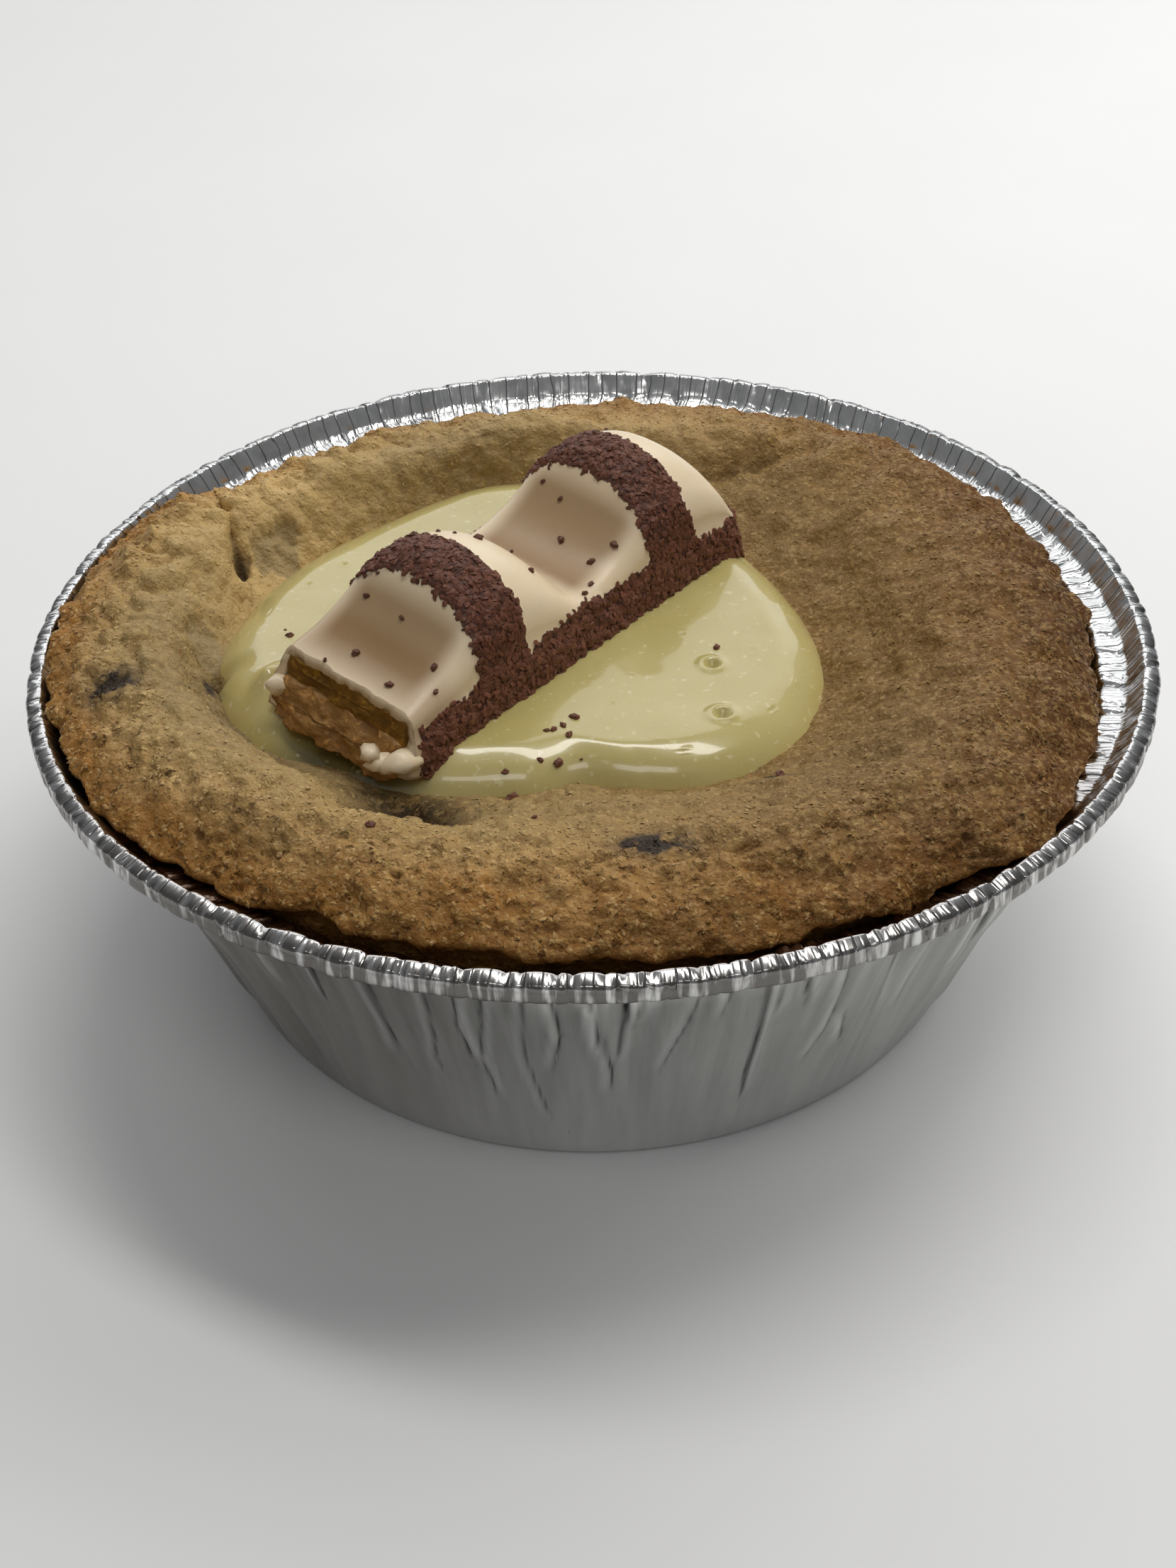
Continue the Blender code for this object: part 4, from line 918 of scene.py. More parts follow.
def crumb_cells(finish, size):
    """Uneven flaky cells of one size in millimetres: each one's tone, and how far from its middle."""
    scaled = finish.vector("SCALE", finish.place(), 1000.0 / size)
    bent = finish.vector("ADD", scaled, finish.noise(scaled, 2.0, 1.3, "Color"))
    cells = finish.add("ShaderNodeTexVoronoi", {"Vector": bent, "Scale": 1.0}).outputs
    return finish.parts(cells["Color"])[0], cells["Distance"]


def dough_material():
    """Baked crust: beige near the pool, golden brown, then amber at the edge; browner on the right."""
    crust = Finish("baked crust", Subsurface_Weight=0.12, Subsurface_Radius=(0.002, 0.0009, 0.0003),
                   Specular_IOR_Level=0.24)
    toast = crust.read("toast")
    grain = crust.read("grain")
    own_tone = crust.read("tone")
    browner = crust.read("browner")
    raised = crust.read("raised")
    tone, off_middle = crumb_cells(crust, 0.9)
    small_tone, small_off = crumb_cells(crust, 0.45)

    patchy = crust.times(crust.minus(crust.mottle(7.0, softness=0.25), 0.5), 0.2)
    level = crust.plus(toast, patchy, clamp=True)
    golden = ramp_of(crust, level, (
        (0.0, (0.40, 0.285, 0.125)), (0.4, (0.48, 0.33, 0.13)), (0.78, (0.455, 0.28, 0.10)),
        (1.0, (0.42, 0.195, 0.04))))
    brown = ramp_of(crust, level, (
        (0.0, (0.225, 0.128, 0.034)), (0.5, (0.205, 0.105, 0.030)), (1.0, (0.105, 0.042, 0.010))))
    # Patches painted paler or darker; the darkest, in the hollow before the bar's cut end, is painted shade
    tone_and_shade = crust.read("tone_and_shade")
    uneven = crust.add("ShaderNodeCombineColor", {0: tone_and_shade, 1: tone_and_shade, 2: tone_and_shade}).outputs[0]
    colour = crust.mix(1.0, crust.mix(browner, golden, brown), uneven, "MULTIPLY")

    gaps = crust.times(crust.minus(1.0, grain), crust.read("grainy"))
    calm = crust.line(browner, -0.65, 1.0)
    pale_grains = crust.times(crust.times(crust.spread(own_tone, 0.5, 1.0, 0.0, 0.6), grain), calm)
    dark_grains = crust.times(crust.spread(own_tone, 0.35, 0.0, 0.0, 0.3), grain)
    low_spots = crust.minus(1.0, crust.mottle(1.0, 0.37, 0.03, 4.0, 41.0))
    rugged_spots = crust.times(low_spots, crust.read("rugged"))
    cracks = crust.times(rugged_spots, crust.mottle(5.0, 0.50, 0.06, 2.0, 33.0), clamp=True)
    cracks = crust.times(cracks, crust.spread(toast, 0.4, 0.8))
    chip_edge = crust.times(crust.mottle(1.5, 0.42, 0.15, 3.0, 6.0), 2.2)
    colour = crust.painted(colour, (
        # Painted shade on the crust between its crumbs
        (crust.times(gaps, 0.1), (0.20, 0.09, 0.025)),
        (pale_grains, (0.78, 0.55, 0.25)),
        (dark_grains, (0.22, 0.09, 0.022)),
        # Painted shade in the crevices between the curds
        (crust.times(crust.read("crevice"), 0.2), (0.12, 0.05, 0.012)),
        (crust.spread(small_tone, 0.6, 0.95, 0.0, 0.3), (0.66, 0.43, 0.16)),
        (crust.spread(tone, 0.3, 0.05, 0.0, 0.2), (0.20, 0.075, 0.018)),
        # Painted light on raised crumbs, and painted shade on low ones
        (crust.spread(raised, 0.03, 0.18, 0.0, 0.35), (0.60, 0.38, 0.13)),
        (crust.spread(raised, -0.02, -0.18, 0.0, 0.22), (0.20, 0.075, 0.018)),
        (crust.times(crust.read("torn"), 0.7), (0.36, 0.27, 0.14)),
        # Painted shade in the pits
        (crust.times(crust.read("hollow"), 0.45), (0.09, 0.028, 0.006)),
        # Painted shade in the deepest hollows
        (crust.times(crust.read("deep"), 0.95), (0.045, 0.024, 0.008)),
        # Painted shade in the cracks
        (crust.times(cracks, 0.45), (0.09, 0.032, 0.008)),
        (crust.times(crust.read("chips"), chip_edge, clamp=True), (0.052, 0.035, 0.023))))
    crust.dress(Base_Color=colour, Roughness=crust.line(small_tone, -0.3, crust.line(grain, -0.2, 0.7)))

    steps = crust.line(off_middle, -0.7, tone)
    small_steps = crust.line(small_off, -0.7, small_tone)
    fine = crust.line(small_steps, 0.5, crust.line(cracks, -2.0, steps))
    crust.bump(crust.line(crust.mottle(0.25, 0.5, 0.35, 2.0, 17.0), 0.3, fine), 1.0, 0.24 * MM)
    return crust.material


dough = build_dough()
shaped(dough, "Crumb relief", crumb_relief_tree(), {
    "Lump Size": 4.0 * MM, "Lump Height": 1.2 * MM, "Curd Height": 6.0 * MM, "Crumb Size": 1.1 * MM,
    "Crumb Height": 0.8 * MM, "Block Size": 2.1 * MM, "Block Height": 0.65 * MM, "Pit Size": 1.7 * MM,
    "Pit Depth": 0.45 * MM, "Material": dough_material()})
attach(dough, "root")
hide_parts("cookie")


# Crumbs of the crust
# The dough's crust breaks up into sandy crumbs half a millimetre across. They stand out from it all
# over, each tipped its own way, and hold on by the dough that they were baked with.

CRUMB_LENGTH = 0.25 * MM
CRUMB_WIDTH = 0.18 * MM
CRUMB_THICKNESS = 0.075 * MM


def strewn_tree(name, mask_name, sides, tilt, sizes):
    """Small flakes strewn where a mask is set, each turned, tipped and sized by the seed."""
    strew = Shaping(name, ("Number per Square Metre", "Length", "Width", "Thickness"), seeded=True)
    given = strew.given
    sharp = strew.math("POWER", strew.field(mask_name), 2.0)
    strewn = strew.add("GeometryNodeDistributePointsOnFaces", {
        "Mesh": given["Geometry"], "Density": strew.times(sharp, given["Number per Square Metre"]),
        "Seed": given["Seed"]}, distribute_method="RANDOM").outputs
    size = strew.add("ShaderNodeCombineXYZ", {
        0: given["Length"], 1: given["Width"], 2: given["Thickness"]}).outputs[0]
    variants = strew.add("GeometryNodeJoinGeometry")
    for shift in (0.0, 5.0, 11.0):
        if sides == 8:
            ball = strew.add("GeometryNodeMeshUVSphere", {"Segments": 4, "Rings": 2, "Radius": 1.0})
        else:
            ball = strew.add("GeometryNodeMeshIcoSphere", {"Radius": 1.0, "Subdivisions": 1})
        corner = strew.add("GeometryNodeInputPosition").outputs[0]
        moved = strew.vector("ADD", corner, (shift, shift, shift))
        jag = strew.add("ShaderNodeTexNoise", {"Vector": moved, "Scale": 1.4}).outputs["Fac"]
        uneven = strew.vector("SCALE", corner, strew.line(jag, 1.6, 0.25))
        flake = strew.add("GeometryNodeSetPosition", {
            "Geometry": ball.outputs[0], "Position": strew.vector("MULTIPLY", uneven, size)}).outputs[0]
        kept = strew.add("GeometryNodeGeometryToInstance", {"Geometry": flake}).outputs[0]
        strew.tree.links.new(kept, variants.inputs[0])

    def drawn(kind, inputs, output):
        return strew.add("FunctionNodeRandomValue", inputs, data_type=kind).outputs[output]

    tip = drawn("FLOAT_VECTOR", {0: (-tilt[0], -tilt[1], 0.0), 1: (tilt[0], tilt[1], math.tau)}, 0)
    turned = strew.add(
        "FunctionNodeRotateRotation", {0: strewn["Rotation"], 1: tip}, rotation_space="LOCAL").outputs[0]
    laid = strew.add("GeometryNodeInstanceOnPoints", {
        "Points": strewn["Points"], "Instance": variants.outputs[0], "Pick Instance": True,
        "Instance Index": drawn("INT", {4: 0, 5: 2}, 2), "Rotation": turned,
        "Scale": drawn("FLOAT", {2: sizes[0], 3: sizes[1]}, 1)}).outputs[0]
    shade = drawn("FLOAT", {2: 0.0, 3: 1.0}, 1)
    return strew.ended(strew.stored(laid, {"tone": shade, "grain": 1.0}, "INSTANCE"))


crust = made("crust_crumbs", dough.data.copy())
shaped(crust, "Crust crumbs", strewn_tree("crust_crumbs", "grainy", 8, (0.4, 0.4), (0.6, 1.5)), {
    "Number per Square Metre": 2.6e6, "Length": CRUMB_LENGTH, "Width": CRUMB_WIDTH,
    "Thickness": CRUMB_THICKNESS, "Seed": 3, "Material": dough.data.materials[0]})
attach(crust, "root")


# Wafer bar's white coating
# A piece with two humps, snapped from a longer bar: thin crisp wafer round a soft filling, dipped
# in white chocolate. It is pushed into the sauce at a slant, with its snapped end to the front.

BAR_LENGTH = 56.2 * MM
BAR_WIDTH = 20.3 * MM
BAR_CORNER = np.array((-18.2, -23.7)) * MM
BAR_TURN = math.radians(49.4)
BAR_BASE = 34.0 * MM
BAR_TILT = 2.0 * MM
VALLEY_Z = 41.2 * MM
HUMP_RISE = 7.6 * MM
HUMPS = 2
HUMP_LENGTH = BAR_LENGTH / HUMPS
# Along each hump, as shares of its length and height: where the scoop ends and where the top is
RIDGE = 0.42
CREST = 0.57
RIDGE_HEIGHT = 0.78
SCOOP_CURVE = 2.1
BACK_CURVE = 2.4
RIDGE_BOW = 1.8 * MM
# Across the bar the humps are arched: how late they fall, and how full they stay
ARCH_CURVE = 2.5
ARCH_FULL = 0.7
TOP_ROUND = 1.5 * MM
END_DROP = 1.6 * MM
END_LENGTH = 3.0 * MM
END_ROUND = 1.6 * MM
CUT_LEAN = 2.4 * MM
CUT_FOOT = 0.8 * MM
CUT_FADE = 4.5 * MM
# The low corner of the cut end is worn round, over this width and height, by this much in and up
WEAR_WIDTH = 4.0 * MM
WEAR_HEIGHT = 3.0 * MM
WORN_IN = 0.9 * MM
WORN_UP = 1.2 * MM
SIDE_TAPER = 1.0 * MM
COAT_TOP = 1.0 * MM
COAT_SIDE = 0.8 * MM
COAT_BASE = 0.3 * MM
COAT_END = 1.6 * MM
COAT_TEAR = 0.5 * MM
CRUMB_COAT = 0.35 * MM
# Rings that close the far end, as shares of its size
END_RINGS = (0.25, 0.55, 0.85)
BAND_START = 12.7 * MM
BAND_END = 18.8 * MM
BAND_BOW = 2.0 * MM
# Top of the crumbed strip along the sides, its start by the cut end, and its fall at the far end
STRIP_TOP = 40.5 * MM
STRIP_START = 39.3 * MM
STRIP_FALL = 0.9 * MM
BARE_END = 1.4 * MM
# How far the crumbs stand out, and the soft unevenness of the bare coating
GRAIN_UP = 0.35 * MM
GRAIN_OUT = 0.5 * MM
COAT_WAVES = 0.10 * MM


def bar_point(along, across, height):
    """Places in the pie of points given along and across the bar, and up."""
    x = BAR_CORNER[0] + along * math.cos(BAR_TURN) - across * math.sin(BAR_TURN)
    y = BAR_CORNER[1] + along * math.sin(BAR_TURN) + across * math.cos(BAR_TURN)
    return np.stack((x, y, height + BAR_TILT * across / BAR_WIDTH), axis=-1)


def wave(along):
    """Height share of the humps: a hollow scoop up to a ridge, a round crest and a full back."""
    share = (np.maximum(along, 0.0) / HUMP_LENGTH) % 1.0
    scoop = RIDGE_HEIGHT * (share / RIDGE) ** SCOOP_CURVE
    crest = 1.0 - (1.0 - RIDGE_HEIGHT) * ((CREST - share) / (CREST - RIDGE)) ** 2
    back = 1.0 - (np.maximum(share - CREST, 0.0) / (1.0 - CREST)) ** BACK_CURVE
    return np.where(share < RIDGE, scoop, np.where(share < CREST, crest, back))


def round_drop(gap, radius):
    """Drop of a rounded edge at a distance in from it."""
    inside = np.clip(radius - gap, 0.0, radius)
    return radius - np.sqrt(np.maximum(radius ** 2 - inside ** 2, 0.0))


def coat_top(along, across):
    """Height of the smooth coating; the ridge of each hump is bowed, its middle farther back."""
    side = np.clip(np.abs(2.0 * across / BAR_WIDTH - 1.0), 0.0, 1.0)
    arch = (1.0 - side ** ARCH_CURVE) ** ARCH_FULL
    bowed = np.minimum(along + RIDGE_BOW * (side ** 2 - 0.35), BAR_LENGTH)
    hump = np.where(bowed >= BAR_LENGTH, 0.0, HUMP_RISE * wave(bowed) * arch)
    gap = (1.0 - side) * BAR_WIDTH / 2.0 - SIDE_TAPER
    end = END_DROP * smooth(BAR_LENGTH - END_LENGTH, BAR_LENGTH, along)
    return VALLEY_Z + hump - round_drop(np.maximum(gap, 0.0), TOP_ROUND) - end


def band_mask(along, across, height):
    """One where crumbs cover the bar: a band over each hump, the low sides and the far end."""
    places = np.stack((along, across, height), axis=-1)
    wobble = 0.35 * MM * rough(places, 0.8 * MM, 2.0) + 0.4 * MM * rough(places, 4.0 * MM, 7.0)
    side = np.abs(2.0 * across / BAR_WIDTH - 1.0)
    on_hump = along % HUMP_LENGTH + wobble
    start = BAND_START - BAND_BOW * side ** 2
    band = smooth(start - 0.3 * MM, start + 0.3 * MM, on_hump)
    band = band * (1.0 - smooth(BAND_END - 0.4 * MM, BAND_END + 0.4 * MM, on_hump))
    strip_top = STRIP_START + (STRIP_TOP - STRIP_START) * smooth(5.0 * MM, 13.0 * MM, along)
    strip_top = strip_top - STRIP_FALL * smooth(40.0 * MM, 54.0 * MM, along)
    strip = 1.0 - smooth(strip_top - 0.3 * MM, strip_top + 0.4 * MM, height + 1.2 * wobble)
    end = smooth(BAR_LENGTH - 0.9 * MM, BAR_LENGTH - 0.2 * MM, along + wobble)
    bare = smooth(BARE_END - 0.5 * MM, BARE_END + 0.5 * MM, along + 1.5 * wobble)
    return np.maximum(np.maximum(band, strip), end) * bare


def side_loop(rises, floor, top_edge, near, lift=0.0):
    """Points up one long side: their places across the bar and their heights."""
    across = near + SIDE_TAPER * rises - lift * (1.0 - smooth(0.6, 0.9, rises))
    return across, floor + (top_edge - floor) * rises


def bar_loops(stations, coat_side, coat_over, floor_at, columns, lift=0.0):
    """Section loops at stations along the bar: up the near side, over the top and down the far side."""
    sides, tops, floors = columns
    rises = np.linspace(0.0, 1.0, sides)
    sweep = 0.5 - 0.5 * np.cos(np.linspace(0.0, math.pi, tops + 2)[1:-1])
    loops = []
    for along in stations:
        inset = coat_side + round_drop(np.array(BAR_LENGTH - coat_side - along), END_ROUND)
        low = inset + SIDE_TAPER
        high = BAR_WIDTH - low
        edge = float(coat_top(np.array(along), np.array(low))) - coat_over
        across_near, height_near = side_loop(rises, floor_at, edge, inset, lift)
        across_top = low + (high - low) * sweep
        height_top = coat_top(np.full_like(across_top, along), across_top) - coat_over
        back = np.linspace(0.0, 1.0, floors + 2)[1:-1]
        across_floor = (BAR_WIDTH - inset) + (2.0 * inset - BAR_WIDTH) * back
        across = np.concatenate((across_near, across_top, BAR_WIDTH - across_near[::-1], across_floor))
        height = np.concatenate((height_near, height_top, height_near[::-1], np.full(floors, floor_at)))
        loops.append(np.stack((np.full_like(across, along), across, height), axis=-1))
    return np.array(loops)


def worn_corner(loops):
    """Round off the low front corner of the snapped end."""
    along, across, height = loops[..., 0], loops[..., 1], loops[..., 2]
    near = np.clip(1.0 - along / WEAR_WIDTH, 0.0, 1.0) ** 2 * (1.0 - smooth(0.0, WEAR_WIDTH, across))
    near = near * (1.0 - smooth(BAR_BASE, BAR_BASE + WEAR_HEIGHT, height))
    worn = loops.copy()
    worn[..., 1] += WORN_IN * near
    worn[..., 2] += WORN_UP * near
    return worn


def cut_push(loops, torn):
    """Push along the bar that leans the snapped end and tears it; it dies out along the bar."""
    lean = CUT_LEAN * (loops[..., 2] - BAR_BASE) / (VALLEY_Z - BAR_BASE) - CUT_FOOT
    return (lean + torn) * np.clip(1.0 - loops[..., 0] / CUT_FADE, 0.0, 1.0) ** 2


def lean_cut(loops, seed):
    """The coating's loops with their snapped end leaned and roughened."""
    places = loops * (0.0, 1.0, 1.0)
    torn = COAT_TEAR * (rough(places, 1.9 * MM, seed) + 0.4 * rough(places, 0.7 * MM, seed))
    leaned = worn_corner(loops)
    leaned[..., 0] += cut_push(loops, torn)
    return leaned


def place_bar(loops):
    return bar_point(loops[..., 0], loops[..., 1], loops[..., 2])


def build_coat():
    """Outer skin from the far end to the cut, then back inside it, so that the cut end is open."""
    columns = (14, 70, 6)
    outer_at = np.concatenate((
        np.linspace(0.0, 2.0 * MM, 6)[:-1], np.linspace(2.0 * MM, BAR_LENGTH - 2.0 * MM, 176),
        np.linspace(BAR_LENGTH - 2.0 * MM, BAR_LENGTH - 0.01 * MM, 12)[1:]))
    outer = bar_loops(outer_at, 0.0, 0.0, BAR_BASE, columns, CRUMB_COAT)
    crumbed = band_mask(outer[..., 0], outer[..., 1], outer[..., 2])
    crumbed[:, -columns[2]:] = 0.0
    above = smooth(STRIP_TOP - 1.0 * MM, STRIP_TOP + 1.0 * MM, outer[..., 2])
    grain = rough(outer, 0.9 * MM, 31.0)
    outer[..., 2] += above * crumbed * (CRUMB_COAT + GRAIN_UP * grain)
    outer[..., 1] += (1.0 - above) * crumbed * GRAIN_OUT * grain
    outer[..., 2] += (1.0 - crumbed) * COAT_WAVES * rough(outer, 5.0 * MM, 12.0)
    inner_at = np.concatenate((
        np.linspace(0.0, 4.0 * MM, 6), np.linspace(8.0 * MM, BAR_LENGTH - COAT_END, 20)))
    inner = bar_loops(inner_at, COAT_SIDE, COAT_TOP, BAR_BASE + COAT_BASE, columns)
    near_side = inner[:, :columns[0]]
    low = 1.0 - smooth(BAR_BASE + 1.0 * MM, BAR_BASE + 4.5 * MM, near_side[..., 2])
    near_side[..., 1] += 1.4 * MM * low
    last = outer[-1]
    middle = last.mean(axis=0)
    cap = middle + (last - middle) * np.array(END_RINGS)[:, None, None]
    outer = lean_cut(np.concatenate((cap, outer[::-1])), 3.0)
    inner = lean_cut(inner, 3.0)
    loops = np.concatenate((outer, inner))
    end_inside = inner[-1].mean(axis=0)
    coat = skin("bar_coat", list(place_bar(loops)), place_bar(middle), place_bar(end_inside))
    rings = len(END_RINGS)
    mask = np.concatenate((np.ones((rings, crumbed.shape[1])), crumbed[::-1], np.zeros(inner.shape[:2])))
    attribute(coat, "crumbed", mask)
    back_along = outer_at[::-1]
    share = (back_along % HUMP_LENGTH) / HUMP_LENGTH
    # Painted shade, tan, in the scoops, in the valley between the humps and by the cut end
    gentle = np.where(back_along > HUMP_LENGTH, 0.08, 0.3)
    scoop = smooth(0.0, gentle, share) * (1.0 - smooth(0.36, 0.46, share))
    valley = 0.35 * np.exp(-((back_along - 28.0 * MM) / (2.6 * MM)) ** 2)
    by_cut = 0.42 * (1.0 - smooth(5.0 * MM, 9.0 * MM, back_along))
    middle_part = 1.0 - smooth(0.55, 0.85, np.abs(2.0 * outer[rings:, :, 1] / BAR_WIDTH - 1.0))
    tan = np.zeros_like(mask[:outer.shape[0]])
    tan[rings:] = (0.85 * scoop + valley)[:, None] * middle_part + by_cut[:, None]
    attribute(coat, "scoop_shade", np.clip(tan, 0.0, 1.0))
    return coat


def coating_material():
    """White chocolate: satin ivory, with painted shade in tan in the scoops, and dark where crumbs cover it.
    """
    ivory = Finish("white chocolate coating", Coat_Weight=0.15, Coat_Roughness=0.3,
                   Subsurface_Weight=0.25, Subsurface_Radius=(0.003, 0.0018, 0.001))
    smooth_part = ivory.mix(ivory.mottle(8.0, softness=0.3), (0.83, 0.66, 0.44), (0.88, 0.74, 0.52))
    # Painted shade: tan in the scoops, in the valley and by the cut end
    smooth_part = ivory.mix(ivory.read("scoop_shade"), smooth_part, (0.32, 0.19, 0.078))
    edge = ivory.plus(ivory.read("crumbed"), ivory.minus(ivory.mottle(0.8, softness=0.4), 0.5))
    covered = ivory.spread(edge, 0.45, 0.6)
    brown = ivory.mix(ivory.mottle(0.6, softness=0.2), (0.07, 0.026, 0.016), (0.13, 0.052, 0.032))
    ivory.dress(Base_Color=ivory.mix(covered, smooth_part, brown),
                Roughness=ivory.spread(covered, 0.0, 1.0, 0.36, 0.75))
    ivory.bump(ivory.times(ivory.mottle(0.5, softness=0.4), ivory.plus(covered, 0.05)), 0.6, 0.3 * MM)
    return ivory.material


coat = build_coat()
coat.data.materials.append(coating_material())
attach(coat, "root")
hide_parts("bar_coating")


# Sauce
# White chocolate sauce spooned into the dip while runny: a thick glossy pool with a rounded edge,
# a few burst bubbles, and a small lift where it clings to the sides of the bar.

SAUCE_RAYS = 400
SAUCE_LEVEL = 35.8 * MM
SAUCE_LIP = 5.6 * MM
SUNK_IN = 0.1 * MM
BROAD_SWELL = 0.20 * MM
SMALL_SWELL = 0.10 * MM
INNER_ROWS = 92
LIP_ROWS = 41
# Slope of the rounded edge: (share of its width in from the shore, rise per run)
LIP_SLOPES = ((0.0, 1.3), (0.25, 0.75), (0.5, 0.42), (0.75, 0.3), (0.9, 0.12), (1.0, 0.0))
# Under the pool: (in from the shore, down from it)
SAUCE_UNDER = ((0.15 * MM, 0.35 * MM), (0.9 * MM, 0.9 * MM), (8.0 * MM, 1.3 * MM), (20.0 * MM, 1.6 * MM))
# The shade before the cut end is full up to the first distance and gone at the second
SHADE_REACH = (3.0 * MM, 9.5 * MM)
CUT_END_SAG = 2.4 * MM
CUT_END_REACH = 7.0 * MM
CLING_HEIGHT = 0.15 * MM
CLING_REACH = 0.9 * MM
# The sauce is carried up at least this far above the bar's base, out to this distance from it
CARRIED_UP = 0.6 * MM
CARRIED_OUT = 2.4 * MM
# Burst bubbles, as shares of their radius: raised ring and dip
RING_RISE = 0.24
DIP_DEPTH = 0.7
# Where the bubbles are: (x, y, radius in mm)
BUBBLES = (
    (12.9, -5.6, 1.15), (13.4, -14.8, 1.25), (10.0, 0.5, 0.35), (2.0, -12.4, 0.3), (17.5, -3.0, 0.4),
    (14.6, 3.6, 0.35), (6.6, -18.8, 0.3), (-32.0, 12.6, 0.5), (-36.0, 7.6, 0.35), (-28.4, 16.8, 0.45),
    (18.8, -13.4, 0.35), (4.4, -7.2, 0.28), (9.2, -20.4, 0.3), (21.5, -8.4, 0.3),
)

# Sauce heaped against the bar's far front corner, as a patch like those of the dough
SAUCE_HEAP = ((-34.6, -6.6, 1.7, 2.6, 1.3, 60.0),)


def to_bar(x, y):
    """Places along and across the bar of points in plan."""
    dx = x - BAR_CORNER[0]
    dy = y - BAR_CORNER[1]
    along = dx * math.cos(BAR_TURN) + dy * math.sin(BAR_TURN)
    across = dy * math.cos(BAR_TURN) - dx * math.sin(BAR_TURN)
    return along, across


def lip_rise(inset):
    """Share of the pool's height reached at a share of the rounded edge's width."""
    shares = np.linspace(0.0, 1.0, 401)
    slopes = np.interp(shares, [share for share, _ in LIP_SLOPES], [slope for _, slope in LIP_SLOPES])
    rise = np.concatenate(([0.0], np.cumsum((slopes[1:] + slopes[:-1]) / 2.0)))
    return np.interp(inset, shares, rise / rise[-1])


def sauce_top(x, y):
    """Height of the pool: domed at its edge, low before the cut end, and clinging to the bar."""
    turn, distance, shore = about_basin(x, y)
    shore_x = BASIN_CENTRE[0] + shore * np.cos(turn)
    shore_y = BASIN_CENTRE[1] + shore * np.sin(turn)
    contact = dough_top(shore_x, shore_y) - SUNK_IN
    inset = np.clip((shore - distance) / SAUCE_LIP, 0.0, 1.0)
    dome = lip_rise(inset)
    height = contact + (SAUCE_LEVEL - contact) * dome
    along, across = to_bar(x, y)
    sag_centre = np.hypot(along + CUT_FOOT, across - BAR_WIDTH / 2.0)
    height = height - CUT_END_SAG * np.exp(-(sag_centre / CUT_END_REACH) ** 2)
    off_end = np.maximum(np.maximum(-along - CUT_FOOT, along - BAR_LENGTH), 0.0)
    off_side = np.maximum(np.maximum(-across, across - BAR_WIDTH), 0.0)
    off_bar = np.hypot(off_end, off_side)
    base = BAR_BASE + BAR_TILT * np.clip(across / BAR_WIDTH, 0.0, 1.0)
    clings = CLING_HEIGHT * np.exp(-off_bar / CLING_REACH)
    carried = np.maximum(base + CARRIED_UP - height, 0.0) * np.exp(-(off_bar / CARRIED_OUT) ** 2)
    held = smooth(1.0 * MM, 6.0 * MM, along)
    height = height + (clings + carried) * held * dome
    flat = in_plan(x, y)
    swell = BROAD_SWELL * rough(flat, 16.0 * MM, 2.0) + SMALL_SWELL * rough(flat, 5.0 * MM, 6.0)
    height = height + dome * swell
    for centre_x, centre_y, radius in BUBBLES:
        off = np.hypot(x - centre_x * MM, y - centre_y * MM) / (radius * MM)
        ring = RING_RISE * np.exp(-((off - 1.0) / 0.4) ** 2)
        height = height + radius * MM * (ring - DIP_DEPTH * np.exp(-(off / 0.55) ** 2))
    return height + sum(bells(x, y, SAUCE_HEAP)) * MM


def build_sauce():
    """Polar grid from the basin's centre to the shore, and rings below that close the pool."""
    _, heading, shore = rays_out(SAUCE_RAYS)
    inner = np.linspace(0.02, 1.0, INNER_ROWS)[:, None] * (shore - SAUCE_LIP)[None]
    lip = shore[None] - SAUCE_LIP * (1.0 - np.linspace(0.0, 1.0, LIP_ROWS + 1)[1:] ** 0.8)[:, None]
    distances = np.concatenate((inner, lip))
    spots = BASIN_CENTRE + heading[None] * distances[..., None]
    top = np.concatenate((spots, sauce_top(spots[..., 0], spots[..., 1])[..., None]), axis=-1)
    under = []
    for inset, drop in SAUCE_UNDER:
        flat = BASIN_CENTRE + heading * (shore - inset)[:, None]
        under.append(np.concatenate((flat, top[-1, :, 2:] - drop), axis=1))
    tip = float(sauce_top(BASIN_CENTRE[:1], BASIN_CENTRE[1:])[0])
    bottom = FLOOR_Z - 0.3 * MM
    pool = skin("sauce_pool", list(top) + under, (*BASIN_CENTRE, tip), (*BASIN_CENTRE, bottom))
    along, across = to_bar(spots[..., 0], spots[..., 1])
    before = np.hypot(along + 3.5 * MM, 0.8 * (across - 0.42 * BAR_WIDTH))
    attribute(pool, "shaded", 1.0 - smooth(*SHADE_REACH, before))
    return pool


def sauce_material():
    """Melted white chocolate: pale yellow, wet and slightly see-through at its thin edge."""
    wet = Finish("white chocolate sauce", Subsurface_Weight=0.45, Subsurface_Radius=(0.005, 0.004, 0.0015),
                 Coat_Weight=0.8, Coat_Roughness=0.07, IOR=1.46)
    colour = wet.mix(wet.mottle(11.0, softness=0.3), (0.51, 0.425, 0.150), (0.585, 0.50, 0.205))
    colour = wet.painted(colour, (
        (wet.times(wet.read("shaded"), 0.9), (0.13, 0.11, 0.030)),
        # Pale specks: painted glints of tiny bubbles
        (wet.times(wet.mottle(0.9, 0.70, 0.03, 1.0, 5.0), 0.35), (0.85, 0.78, 0.52))))
    wet.dress(Base_Color=colour, Roughness=wet.spread(wet.mottle(6.0, softness=0.3), 0.0, 1.0, 0.22, 0.34))
    wet.bump(wet.mottle(3.0, softness=0.5), 0.08, 0.3 * MM)
    return wet.material


